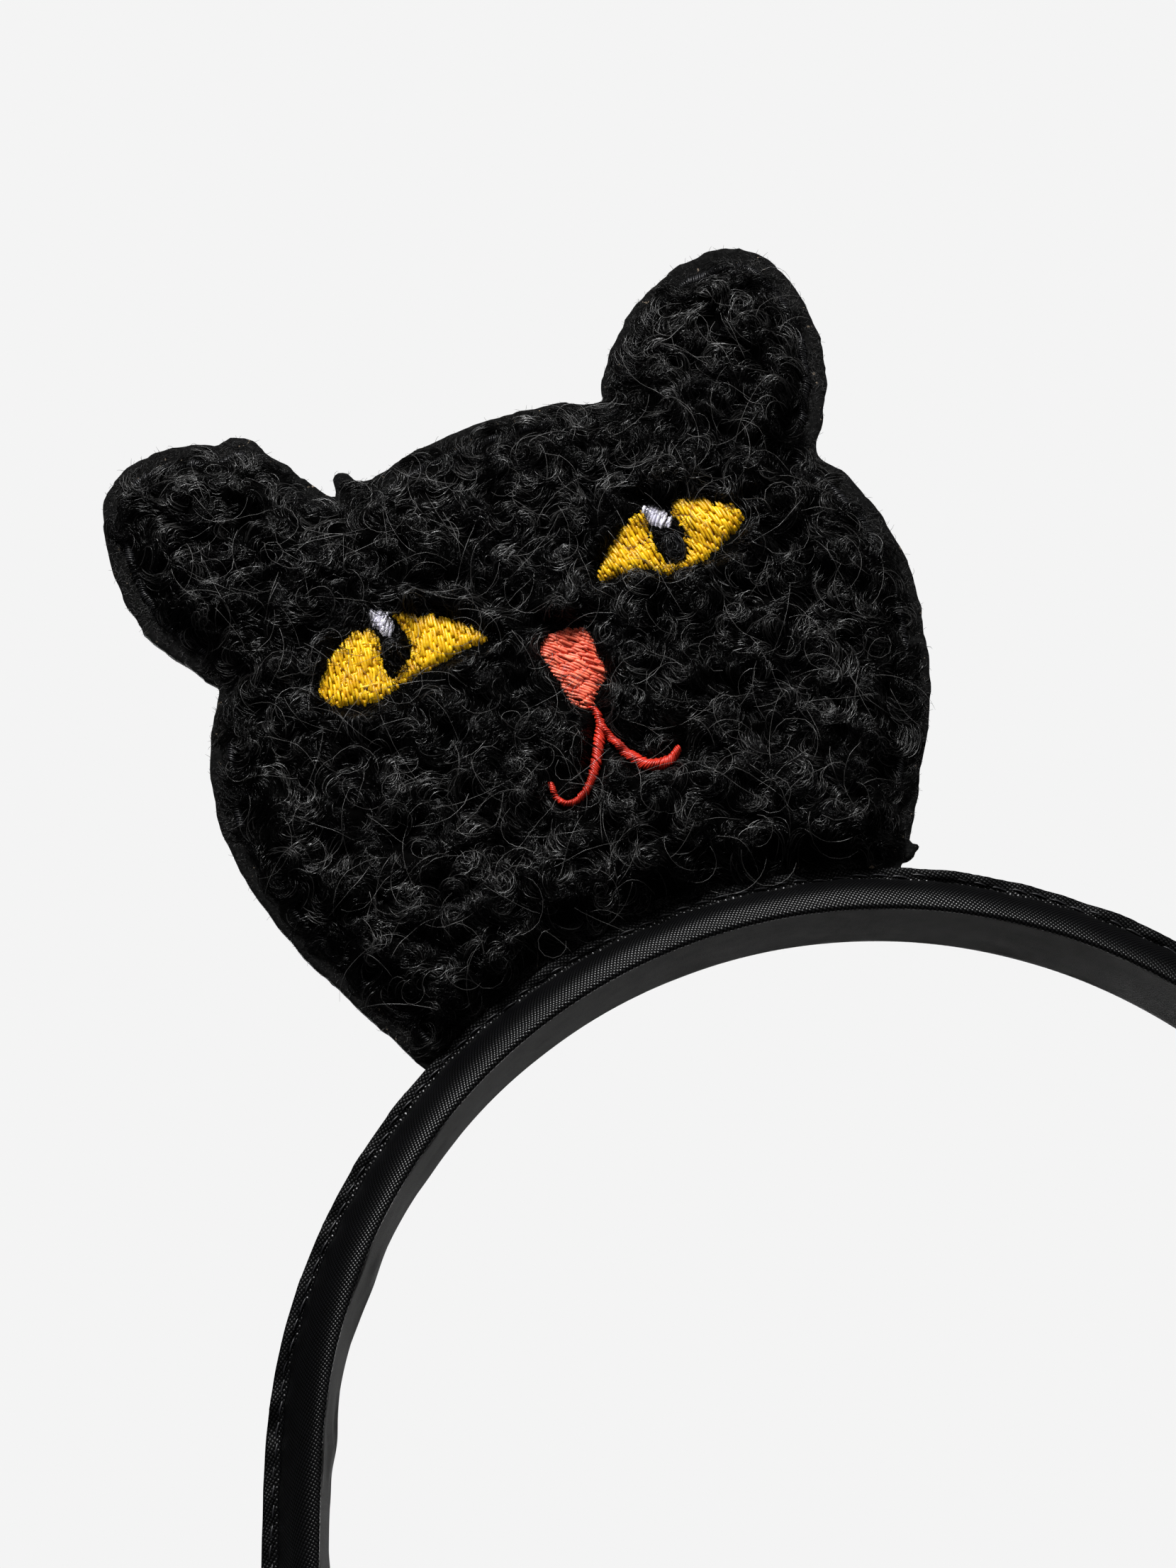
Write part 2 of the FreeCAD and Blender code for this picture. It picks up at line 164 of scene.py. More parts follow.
def on_head(u, depth, v):
    """Points of the head's own frame (right, towards +Y, up from the seam) in the row frame."""
    u, depth, v = np.broadcast_arrays(u, depth, v)
    return HINGE + u[..., None] * ALONG + v[..., None] * UP + depth[..., None] * BACKWARD


def link(name, mesh, material):
    piece = bpy.data.objects.new(name, mesh)
    bpy.context.scene.collection.objects.link(piece)
    for finish in material if isinstance(material, list) else [material]:
        mesh.materials.append(finish)
    mesh.polygons.foreach_set("use_smooth", [True] * len(mesh.polygons))
    mesh.update()
    return piece


def new_mesh(name, vertices, quads, triangles=()):
    """A mesh from millimetre vertices."""
    mesh = bpy.data.meshes.new(name)
    quads = np.asarray(quads, int).reshape(-1, 4)
    triangles = np.asarray(triangles, int).reshape(-1, 3)
    loops = np.concatenate([quads.ravel(), triangles.ravel()])
    starts = np.concatenate([
        np.arange(len(quads)) * 4, len(quads) * 4 + np.arange(len(triangles)) * 3])
    mesh.vertices.add(len(vertices))
    mesh.vertices.foreach_set("co", (np.asarray(vertices, float) * MM).ravel())
    mesh.loops.add(len(loops))
    mesh.loops.foreach_set("vertex_index", loops)
    mesh.polygons.add(len(starts))
    mesh.polygons.foreach_set("loop_start", starts)
    mesh.update(calc_edges=True)
    mesh.validate()
    return mesh


def ring_grid(count, columns):
    """Vertex numbers of stacked rings, the next vertex round each, and the faces between."""
    index = np.arange(count * columns).reshape(count, columns)
    follow = np.roll(index, -1, axis=1)
    quads = np.stack([index[:-1], follow[:-1], follow[1:], index[1:]], axis=-1).reshape(-1, 4)
    return index, follow, quads


def tubes(name, lines, radii, reference, material, sides=3):
    """Closed round strands. lines is (N, S, 3), radii (N, S), reference (N, 3) off each line."""
    count, steps, _ = lines.shape
    tangent = np.gradient(lines, axis=1)
    tangent /= np.maximum(np.linalg.norm(tangent, axis=2, keepdims=True), 1e-9)
    side = np.cross(tangent, reference[:, None, :])
    side /= np.maximum(np.linalg.norm(side, axis=2, keepdims=True), 1e-9)
    other = np.cross(tangent, side)
    angle = np.arange(sides) * 2 * math.pi / sides
    ring = (side[:, :, None, :] * np.cos(angle)[None, None, :, None]
            + other[:, :, None, :] * np.sin(angle)[None, None, :, None])
    points = lines[:, :, None, :] + ring * radii[:, :, None, None]
    index = np.arange(count * steps * sides).reshape(count, steps, sides)
    a, b = index[:, :-1], index[:, 1:]
    quads = np.stack([a, np.roll(a, -1, axis=2), np.roll(b, -1, axis=2), b], axis=-1)
    if sides == 3:
        caps = np.concatenate([index[:, 0, ::-1], index[:, -1]])
        mesh = new_mesh(name, points.reshape(-1, 3), quads, caps)
    else:
        extra = np.concatenate([lines[:, 0], lines[:, -1]])
        first = count * steps * sides
        fans = []
        for end, ring_index, flip in ((0, index[:, 0], True), (count, index[:, -1], False)):
            centre = (first + end + np.arange(count))[:, None].repeat(sides, 1)
            following = np.roll(ring_index, -1, axis=1)
            pair = (following, ring_index) if flip else (ring_index, following)
            fans.append(np.stack([centre, *pair], axis=-1).reshape(-1, 3))
        mesh = new_mesh(name, np.vstack([points.reshape(-1, 3), extra]), quads, np.vstack(fans))
    add_strand_map(mesh, count, steps, sides)
    return link(name, mesh, material)


def add_strand_map(mesh, count, steps, sides):
    """A texture map that gives each strand a thin upright strip of its own."""
    layer = mesh.uv_layers.new(name="OFBake")
    quads = count * (steps - 1) * sides
    columns = max(1, int(math.sqrt(count * 6)))
    rows = int(math.ceil(count / columns))
    strand, step, side = np.meshgrid(
        np.arange(count), np.arange(steps - 1), np.arange(sides), indexing="ij")
    left = ((strand % columns) + 0.1 + 0.8 * side / sides) / columns
    right = ((strand % columns) + 0.1 + 0.8 * (side + 1) / sides) / columns
    low = ((strand // columns) + 0.05 + 0.9 * step / (steps - 1)) / rows
    high = ((strand // columns) + 0.05 + 0.9 * (step + 1) / (steps - 1)) / rows
    corners = np.stack([left, low, right, low, right, high, left, high], axis=-1).reshape(-1, 2)
    uv = np.zeros((len(mesh.loops), 2))
    uv[:quads * 4] = corners
    rest = len(mesh.loops) - quads * 4
    caps = rest // 3
    owner = np.arange(caps) % count
    centre = np.column_stack([((owner % columns) + 0.5) / columns, ((owner // columns) + 0.02) / rows])
    tiny = np.array([[-0.3 / columns, 0], [0.3 / columns, 0], [0, 0.03 / rows]])
    uv[quads * 4:] = (centre[:, None, :] + tiny[None]).reshape(-1, 2)
    layer.data.foreach_set("uv", uv.ravel())


def plate(name, loop, spacing, front, back, material, seed):
    """A closed sheet over a loop in the head's frame. front and back give depth at (u, v)."""
    border = resample(loop, spacing, closed=True)
    inner = scattered(border, spacing, seed, spacing * 0.55)
    points = [Vector(p) for p in np.vstack([border, inner])]
    edges = [(i, (i + 1) % len(border)) for i in range(len(border))]
    out, _, faces, _, _, _ = delaunay_2d_cdt(points, edges, [], 1, 1e-5)
    flat = np.array([[p.x, p.y] for p in out])
    count = len(flat)
    faces = np.array([f for f in faces if len(f) == 3], int)
    front_depth, back_depth = front(flat), back(flat)
    vertices = np.vstack([on_head(flat[:, 0], front_depth, flat[:, 1]),
                          on_head(flat[:, 0], back_depth, flat[:, 1])])
    directed = {}
    for a, b, c in faces:
        for pair in ((a, b), (b, c), (c, a)):
            directed[pair] = True
    rim = [pair for pair in directed if (pair[1], pair[0]) not in directed]
    walls = [(b, a, a + count, b + count) for a, b in rim]
    # seen from -Y, +X is to the right, so an anticlockwise face looks to the front
    mesh = new_mesh(name, vertices, walls, np.vstack([faces, faces[:, ::-1] + count]))
    return link(name, mesh, material)


# ---------------------------------------------------------------- materials

def material(name, colour, roughness, **inputs):
    made = bpy.data.materials.new(name)
    made.use_nodes = True
    shader = made.node_tree.nodes["Principled BSDF"]
    shader.inputs["Base Color"].default_value = (*colour, 1)
    shader.inputs["Roughness"].default_value = roughness
    for socket, value in inputs.items():
        shader.inputs[socket.replace("_", " ")].default_value = value
    return made


class Nodes:
    """Short calls that add linked nodes to one material."""

    def __init__(self, made):
        self.tree = made.node_tree
        self.shader = self.tree.nodes["Principled BSDF"]

    def add(self, kind, *links, **settings):
        node = self.tree.nodes.new(kind)
        for name, value in settings.items():
            setattr(node, name, value)
        for socket, value in links:
            if isinstance(value, bpy.types.NodeSocket):
                self.tree.links.new(value, node.inputs[socket])
            else:
                node.inputs[socket].default_value = value
        return node

    def place(self):
        return self.add("ShaderNodeTexCoord").outputs["Object"]

    def uv(self, name):
        return self.add("ShaderNodeUVMap", uv_map=name).outputs["UV"]

    def noise(self, where, scale, detail=3.0, rough=0.6):
        return self.add("ShaderNodeTexNoise", ("Vector", where), ("Scale", scale),
                        ("Detail", detail), ("Roughness", rough)).outputs["Fac"]

    def maths(self, operation, *values):
        return self.add("ShaderNodeMath", *enumerate(values), operation=operation).outputs[0]

    def ramp(self, factor, *stops):
        node = self.add("ShaderNodeValToRGB", ("Fac", factor))
        elements = node.color_ramp.elements
        while len(elements) < len(stops):
            elements.new(0.5)
        for element, (position, colour) in zip(elements, stops):
            element.position = position
            element.color = (*colour, 1)
        return node.outputs["Color"]

    def to(self, socket, value):
        self.tree.links.new(value, self.shader.inputs[socket])

    def bump(self, height, distance, strength=1.0):
        node = self.add("ShaderNodeBump", ("Height", height), ("Distance", distance),
                        ("Strength", strength))
        self.to("Normal", node.outputs["Normal"])


def grey(value, warm=0.0):
    return (value * (1 + warm), value, value * (1 - warm))


def satin(name, dark, light, roughness, gloss, pitch, slant, tint):
    """A fine woven satin. The map "Cloth" holds millimetres along and across the cloth."""
    made = material(name, tint(dark), roughness)
    nodes = Nodes(made)
    split = nodes.add("ShaderNodeSeparateXYZ", ("Vector", nodes.uv("Cloth")))
    along, across = split.outputs["X"], split.outputs["Y"]
    turn = math.pi / pitch
    rising = nodes.maths("ADD", along, nodes.maths("MULTIPLY", across, slant))
    falling = nodes.maths("SUBTRACT", nodes.maths("MULTIPLY", along, 0.55), across)
    warp = nodes.maths("SINE", nodes.maths("MULTIPLY", rising, turn))
    weft = nodes.maths("SINE", nodes.maths("MULTIPLY", falling, turn))
    # rows of small raised floats between sunken crossings
    floats = nodes.maths("ABSOLUTE", nodes.maths("MULTIPLY", warp, weft))
    uneven = nodes.noise(nodes.place(), 420.0, 4.0, 0.6)
    # the base colour is lighter on the floats and darker at the sunken crossings: a painted highlight and painted
    # shade on cloth of one colour; the noise adds uneven tone of the cloth's own
    tone = nodes.maths("ADD", nodes.maths("MULTIPLY", floats, 0.5),
                       nodes.maths("MULTIPLY", uneven, 0.6))
    nodes.to("Base Color", nodes.ramp(tone, (0.25, tint(dark)), (0.8, tint(light))))
    rough = nodes.add("ShaderNodeMapRange", ("Value", tone), ("From Min", 0.2), ("From Max", 0.8),
                      ("To Min", roughness + 0.1), ("To Max", roughness))
    nodes.to("Roughness", rough.outputs["Result"])
    # the crossings between floats lie in shade and give no gloss
    shine = nodes.add("ShaderNodeMapRange", ("Value", floats), ("From Min", 0.1), ("From Max", 0.7),
                      ("To Min", gloss * 0.12), ("To Max", gloss))
    nodes.to("Specular IOR Level", shine.outputs["Result"])
    nodes.bump(floats, 0.00005, 1.0)
    return made


def dark_colour(value):
    """A near-black cloth colour, a little blue."""
    return (value * 0.94, value * 0.97, value * 1.12)


def painted_warm_light_colour(value):
    """The same cloth where it looks brownish, turned away from the light: a painted warm tint of light reflected
    from below.
    """
    return (value * 1.12, value, value * 0.82)


def felt_finish():
    made = material("black_felt", grey(0.002), 0.95, Specular_IOR_Level=0.1)
    nodes = Nodes(made)
    place = nodes.place()
    fibres = nodes.noise(place, 2600.0, 6.0, 0.8)
    lint = nodes.noise(place, 1500.0, 2.0, 0.5)
    speck = nodes.maths("GREATER_THAN", lint, 0.71)
    tone = nodes.maths("ADD", fibres, nodes.maths("MULTIPLY", speck, 0.35))
    nodes.to("Base Color", nodes.ramp(tone, (0.42, grey(0.001)), (0.62, grey(0.008)),
                                      (1.0, grey(0.22, 0.25))))
    nodes.bump(fibres, 0.00025, 1.0)
    return made


def fur_finish(name, low, high, roughness, gloss=0.5):
    """Hair: near black, with a gloss that shows only where a hair turns towards the light."""
    made = material(name, grey(low), roughness, Specular_IOR_Level=gloss)
    nodes = Nodes(made)
    place = nodes.place()
    nodes.to("Base Color", nodes.ramp(nodes.noise(place, 520.0, 4.0),
                                      (0.35, grey(low, 0.05)), (0.75, grey(high, 0.02))))
    return made


def thread_finish(name, deep, bright, roughness=0.38):
    """Glossy rayon: tone changes from thread to thread, with fine fibres along each one."""
    made = material(name, bright, roughness, Specular_IOR_Level=0.35)
    nodes = Nodes(made)
    place = nodes.place()
    tone = nodes.maths("ADD", nodes.maths("MULTIPLY", nodes.noise(place, 900.0, 2.0), 0.6),
                       nodes.maths("MULTIPLY", nodes.noise(place, 5000.0, 2.0), 0.4))
    nodes.to("Base Color", nodes.ramp(tone, (0.3, deep), (0.62, bright)))
    nodes.bump(nodes.noise(place, 7000.0, 2.0), 0.00004, 0.6)
    return made


def plain_finish(name, low, high, roughness, scale):
    made = material(name, grey(low), roughness)
    nodes = Nodes(made)
    mottle = nodes.noise(nodes.place(), scale)
    nodes.to("Base Color", nodes.ramp(mottle, (0.3, grey(low)), (0.7, grey(high))))
    return made


SATIN = satin("black_satin", 0.0002, 0.0025, 0.29, 0.31, 0.42, 0.55, dark_colour)
# the flange: a darker copy of the same satin with half its gloss, painted shade on the part that faces the key
# light
FLANGE_SATIN = satin("satin_flange", 0.0002, 0.002, 0.42, 0.16, 0.42, 0.55, dark_colour)
# the band's inner face: the same satin with a finer, more slanted weave; its lighter, warm colour is painted light
# reflected from below
INNER_FACE_SATIN_PAINTED_LIGHT = satin("band_inner_face", 0.003, 0.014, 0.6, 0.10, 0.34, 1.4, painted_warm_light_colour)
FELT = felt_finish()
FUR = fur_finish("curly_black_pile", 0.0003, 0.0016, 0.28, 0.125)
# lighter hairs: in part real lighter hairs, in part a painted highlight where they gather by lock
LIGHTER_FUR = fur_finish("lighter_hairs", 0.009, 0.043, 0.35, 0.5)
FUZZ = fur_finish("felt_fuzz", 0.003, 0.04, 0.5, 0.35)
GROUND = fur_finish("pile_ground", 0.0005, 0.0012, 0.9, 0.02)
GREY_HAIR = fur_finish("stray_grey_hairs", 0.04, 0.16, 0.4)
BLACK_THREAD = thread_finish("black_thread", (0.002, 0.002, 0.0024), (0.012, 0.012, 0.014), 0.42)
YELLOW = thread_finish("yellow_thread", (0.48, 0.20, 0.002), (0.86, 0.54, 0.006))
WHITE = thread_finish("white_thread", (0.68, 0.66, 0.86), (0.96, 0.94, 1.0))
CORAL = thread_finish("coral_thread", (0.5, 0.022, 0.012), (1.0, 0.23, 0.13))
RED = thread_finish("red_thread", (0.2, 0.006, 0.003), (0.62, 0.032, 0.014))
PLASTIC = plain_finish("strip_plastic", 0.02, 0.03, 0.45, 300.0)
WADDING = plain_finish("grey_wadding", 0.2, 0.35, 0.95, 900.0)


# ---------------------------------------------------------------- camera, light, floor

def make_camera():
    """The viewpoint: a little below the head, looking up, with a long lens."""
    data = bpy.data.cameras.new("camera")
    data.lens, data.sensor_width = 79.8, 36.0
    data.clip_start, data.clip_end = 0.01, 20
    camera = bpy.data.objects.new("camera", data)
    bpy.context.scene.collection.objects.link(camera)
    aim = Vector((-33.5, 0, 78.7)) * MM
    distance, pitch, yaw = 400 * MM, math.radians(16.4), math.radians(0.4)
    look = Vector((math.sin(yaw) * math.cos(pitch), math.cos(yaw) * math.cos(pitch),
                   math.sin(pitch)))
    camera.location = aim - look * distance
    camera.rotation_mode = "QUATERNION"
    camera.rotation_quaternion = look.to_track_quat("-Z", "Y")
    bpy.context.scene.camera = camera


def area_light(name, place, target, size, power):
    data = bpy.data.lights.new(name, "AREA")
    data.shape, data.size, data.size_y = "RECTANGLE", size[0], size[1]
    data.energy = power
    light = bpy.data.objects.new(name, data)
    bpy.context.scene.collection.objects.link(light)
    light.location = place
    way = Vector(target) - Vector(place)
    light.rotation_mode = "QUATERNION"
    light.rotation_quaternion = way.to_track_quat("-Z", "Y")


FLOOR_GAP = 0.0004          # metres under the band's tips
FLOOR_HALF = 12.0           # metres from the middle to each side


def make_studio():
    scene = bpy.context.scene
    scene.view_settings.view_transform = "Standard"
    world = bpy.data.worlds.new("studio")
    scene.world = world
    world.use_nodes = True
    tree = world.node_tree
    background = tree.nodes["Background"]
    background.inputs["Color"].default_value = (0.905, 0.905, 0.905, 1)
    # the backdrop looks bright to the camera and lights the object far less
    path = tree.nodes.new("ShaderNodeLightPath")
    strength = tree.nodes.new("ShaderNodeMapRange")
    strength.inputs["To Min"].default_value = 0.022
    strength.inputs["To Max"].default_value = 1.0
    tree.links.new(path.outputs["Is Camera Ray"], strength.inputs["Value"])
    tree.links.new(strength.outputs["Result"], background.inputs["Strength"])
    target = (-0.03, 0, 0.08)
    area_light("key", (-0.27, -0.64, 0.88), target, (0.3, 0.3), 24)
    area_light("fill", (0.75, -0.6, 0.25), target, (0.4, 0.4), 1.6)
    area_light("rear", (-0.3, 0.85, 0.27), target, (0.3, 0.3), 14)
    area_light("low_rear", (-0.06, 0.9, 0.05), target, (0.5, 0.3), 2.1)
    floor_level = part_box("tip_fold_left")[0].z - FLOOR_GAP
    half = FLOOR_HALF
    mesh = bpy.data.meshes.new("floor")
    mesh.from_pydata([(-half, -half, floor_level), (half, -half, floor_level),
                      (half, half, floor_level), (-half, half, floor_level)], [], [(0, 1, 2, 3)])
    link("floor", mesh, floor_finish())


def floor_finish():
    """Pale paper that is bright to look at and throws little light back up."""
    made = material("floor_paper", grey(0.06), 0.9, Specular_IOR_Level=0.0)
    nodes = Nodes(made)
    seen = nodes.add("ShaderNodeLightPath").outputs["Is Camera Ray"]
    pale = nodes.add("ShaderNodeMix", (0, seen), ("A", grey(0.06) + (1,)), ("B", grey(0.045) + (1,)),
                     data_type="RGBA")
    nodes.to("Base Color", pale.outputs["Result"])
    nodes.to("Emission Strength", nodes.maths("MULTIPLY", seen, 0.87))
    made.node_tree.nodes["Principled BSDF"].inputs["Emission Color"].default_value = (1, 1, 1, 1)
    return made


# ---------------------------------------------------------------- band

def band_line(reach):
    """Points and outward directions of the inner face's middle line, at lengths from the top
    of the crown, positive towards +X."""
    reach = np.asarray(reach, float)
    side = np.sign(reach) + (reach == 0)
    run = np.abs(reach)
    quarter = HEAD_R * math.pi / 2
    angle = np.minimum(run, quarter) / HEAD_R
    straight = np.clip(run - quarter, 0, LEG_STRAIGHT)
    turn = np.clip(run - quarter - LEG_STRAIGHT, 0, None) / LEG_BEND_R
    x = HEAD_R * np.sin(angle) - LEG_BEND_R * (1 - np.cos(turn))
    z = HEAD_R * np.cos(angle) - straight - LEG_BEND_R * np.sin(turn)
    lean = angle + turn
    point = np.stack([side * x, 0 * x, z], axis=-1)
    out = np.stack([side * np.sin(lean), 0 * x, np.cos(lean)], axis=-1)
    return point, out


HALF_LINE = HEAD_R * math.pi / 2 + LEG_STRAIGHT + LEG_BEND
CLOTH = 0.32                # thickness of the satin


def cover_section():
    """Half of the cloth's section, from the flange's cut edge to the middle of the inner face,
    as (distance from the middle, height over the inner face) of the cloth's outer side."""
    tip, foot = SEAM_RISE + FLANGE, SEAM_RISE
    return [
        (0.66, tip), (0.68, tip - 0.5), (0.66, foot + 0.55), (0.60, foot + 0.12),
        (0.90, foot - 0.25), (2.0, foot - 0.42), (3.6, foot - 0.88), (5.2, foot - 1.62),
        (6.5, foot - 2.5), (7.35, foot - 3.4), (HALF_BAND - 0.16, 1.0), (HALF_BAND - 0.02, 0.42),
        (HALF_BAND - 0.12, 0.08), (HALF_BAND - 0.5, 0.0), (HALF_BAND - 1.3, 0.03),
        (4.2, 0.03), (2.0, 0.0), (0.0, 0.0),
    ]


def cover_faces():
    """The closed outline of the cloth's section: its outer side from the front layer of the
    flange round to the back one, then its inner side back again."""
    half = resample(spline(cover_section(), 4), 0.3)
    outer = np.vstack([half * [-1, 1], half[-2::-1]])
    way = np.gradient(outer, axis=0)
    way /= np.linalg.norm(way, axis=1)[:, None]
    inner = outer + CLOTH * np.column_stack([-way[:, 1], way[:, 0]])
    return outer, inner


def make_cover():
    """A strip of satin wrapped round the band: both edges stand up together in the flange."""
    outer, inner = cover_faces()
    walk = np.concatenate([[0], np.cumsum(np.linalg.norm(np.diff(outer, axis=0), axis=1))])
    section = np.vstack([outer, inner[::-1]])
    section_walk = np.concatenate([walk, walk[::-1]])
    step = 0.5
    stations = np.linspace(-HALF_LINE, HALF_LINE, int(2 * HALF_LINE / step))
    centre, out = band_line(stations)
    reach, across = np.meshgrid(stations, section[:, 0], indexing="ij")
    height = np.broadcast_to(section[:, 1], reach.shape).copy()
    place = np.column_stack([reach.ravel(), across.ravel()])

    def drift(size, seed, stretch=(1, 1)):
        return ripple(place * stretch, size, seed).reshape(reach.shape)

    flange = smoothstep(SEAM_RISE - 0.1, SEAM_RISE + 0.8, height)
    low = smoothstep(0.75, 0.4, height) * smoothstep(HALF_BAND - 0.1, HALF_BAND - 1.4, np.abs(across))
    slope = smoothstep(0.8, 1.7, height) * (1 - flange)
    leg = smoothstep(45, 75, np.abs(reach))
    # the inner cloth is longer than its arc, so it stands off in shallow puckers
    pucker = 0.5 + 0.5 * np.sin(2 * math.pi * (reach - 9.5) / 18.0 + 0.5 * drift(40, 3))
    far_side = 0.4 + 0.6 * smoothstep(-2, 7, across)
    height -= low * (0.15 + 0.5 * leg) * far_side * pucker * (0.8 + 0.2 * drift(9, 4))
    height += slope * 0.13 * drift(16, 5, (1, 0.6))
    # short gathers run down the slope from the stitches
    height += slope * smoothstep(5.5, 1.2, np.abs(across)) * 0.07 * drift(2.8, 6, (1, 0.12))
    # the two layers of the flange part and wave a little, each in its own way
    ply = np.sign(across)
    along = place[:, :1]
    lean = 0.26 * ripple(along, 24, 7) + 0.09 * ripple(along, 5, 8)
    apart = np.abs(ripple(along, 13, 10)) * 0.16
    across = across + flange * (lean.reshape(reach.shape) + ply * apart.reshape(reach.shape))
    front_trim = 0.2 + 0.08 * ripple(along, 9, 9) + 0.025 * ripple(along, 1.3, 12)
    height -= flange * (ply < 0) * front_trim.reshape(reach.shape)
    # the cloth is drawn in and pressed down where it enters the tips
    end = smoothstep(HALF_LINE, HALF_LINE - 7, np.abs(reach))
    height = np.where(height > SEAM_RISE - 0.4,
                      SEAM_RISE - 0.4 + (height - SEAM_RISE + 0.4) * (0.25 + 0.75 * end), height)
    squeeze = 0.93 + 0.07 * smoothstep(HALF_LINE, HALF_LINE - 3, np.abs(reach))
    vertices = (centre[:, None, :] + out[:, None, :] * (height * squeeze)[..., None]
                + (across * squeeze)[..., None] * BACKWARD)
    rows, columns = reach.shape
    index, _, quads = ring_grid(rows, columns)
    # the strip's two ends are closed between its outer and inner sides
    half = len(outer)
    closing = []
    for row, flip in ((0, True), (rows - 1, False)):
        near, far = index[row, :half], index[row, half:][::-1]
        strip = np.stack([near[:-1], near[1:], far[1:], far[:-1]], axis=-1)
        closing.append(strip[:, ::-1] if flip else strip)
    quads = np.vstack([quads, *closing])
    mesh = new_mesh("satin_cover_cloth", vertices.reshape(-1, 3), quads)
    add_cloth_map(mesh, np.repeat(stations, columns), np.tile(section_walk, rows))
    is_outer = np.tile(np.arange(columns) < half, rows)
    inner_face = (low.reshape(-1) * is_outer)[quads].mean(axis=1)
    stands_up = flange.reshape(-1)[quads].mean(axis=1)
    # the second finish is the inner face's copy of the satin with painted light, the third the flange's copy with
    # painted shade
    piece = link("satin_cover_cloth", mesh, [SATIN, INNER_FACE_SATIN_PAINTED_LIGHT, FLANGE_SATIN])
    finish = np.where(stands_up > 0.5, 2, inner_face > 0.4).astype(int)
    mesh.polygons.foreach_set("material_index", finish)
    fix_to_band(piece, "satin_cover")


def add_cloth_map(mesh, along, across):
    """The texture map "Cloth", in millimetres of cloth at each vertex."""
    loops = np.zeros(len(mesh.loops), int)
    mesh.loops.foreach_get("vertex_index", loops)
    layer = mesh.uv_layers.new(name="Cloth")
    layer.data.foreach_set("uv", np.column_stack([along, across])[loops].ravel())


def fix_to_band(piece, node):
    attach(piece, "band")
    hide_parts(node)


def seam_stitches(side, name, node):
    """Lockstitches along the foot of the flange, one small loop each."""
    rng = stream(20 + side)
    pitch = 2.1
    starts = np.arange(-HALF_LINE + 6, HALF_LINE - 6, pitch)
    steps = 7
    t = np.linspace(0, 1, steps)
    reach = starts[:, None] + pitch * (0.06 + 0.88 * t)[None]
    centre, out = band_line(reach)
    dip = np.sin(math.pi * t) ** 0.6
    rise = SEAM_RISE + 0.42 + 0.10 * rng.normal(size=(len(starts), 1)) + 0.06 * np.sin(5 * t)[None]
    lean = 0.28 * ripple(reach.reshape(-1, 1), 24, 7) + 0.10 * ripple(reach.reshape(-1, 1), 5, 8)
    off = side * (0.52 + 0.24 * dip)[None] + lean.reshape(reach.shape) * 0.45
    lines = centre + out * rise[..., None] + off[..., None] * BACKWARD
    radii = np.full(reach.shape, 0.13) * (0.6 + 0.4 * dip)[None]
    fix_to_band(tubes(name, lines, radii, out[:, 0], BLACK_THREAD, sides=6), node)


def tip_wrap(side, name, node):
    """The cover's end, folded over the strip and pressed to a soft rounded cap."""
    half = spline([(0.0, SEAM_RISE + 0.5), (1.4, SEAM_RISE + 0.1), (4.6, SEAM_RISE - 1.2),
                   (7.0, SEAM_RISE - 2.6), (HALF_BAND + 0.1, 1.6), (HALF_BAND, 0.2),
                   (HALF_BAND - 1.0, -0.25), (4.0, -0.3), (0.0, -0.28)], 5)
    section = np.vstack([half, (half * [-1, 1])[-2:0:-1]])
    middle = section.mean(axis=0)
    profile = [(-2.2, 0.985), (-1.2, 1.0), (-0.3, 1.01), (0.4, 0.99), (1.0, 0.93), (1.4, 0.8),
               (1.6, 0.6), (1.68, 0.3)]
    base, out = band_line(np.array([side * HALF_LINE]))
    base, out = base[0], out[0]
    along = np.cross(out, BACKWARD) * -side
    rings = []
    around = np.arctan2(section[:, 1] - middle[1], section[:, 0] - middle[0])
    for index, (advance, scale) in enumerate(profile):
        pleat = 1 + 0.02 * index / len(profile) * np.sin(9 * around + side)
        flat = middle + (section - middle) * (scale * pleat)[:, None]
        rings.append(base + out * flat[:, 1:2] + BACKWARD * flat[:, 0:1] + along * advance)
    rings = np.array(rings)
    count, columns = rings.shape[:2]
    index, follow, quads = ring_grid(count, columns)
    ends = [rings[0].mean(axis=0), rings[-1].mean(axis=0)]
    first = count * columns
    fans = np.vstack([
        np.column_stack([np.full(columns, first), follow[0], index[0]]),
        np.column_stack([np.full(columns, first + 1), index[-1], follow[-1]])])
    if side < 0:
        quads, fans = quads[:, ::-1], fans[:, ::-1]
    mesh = new_mesh(name, np.vstack([rings.reshape(-1, 3), ends]), quads, fans)
    flat = np.array([(v.co.y, v.co.z) for v in mesh.vertices]) / MM
    add_cloth_map(mesh, flat[:, 0], flat[:, 1])
    fix_to_band(link(name, mesh, SATIN), node)


# ---------------------------------------------------------------- cat head: outline

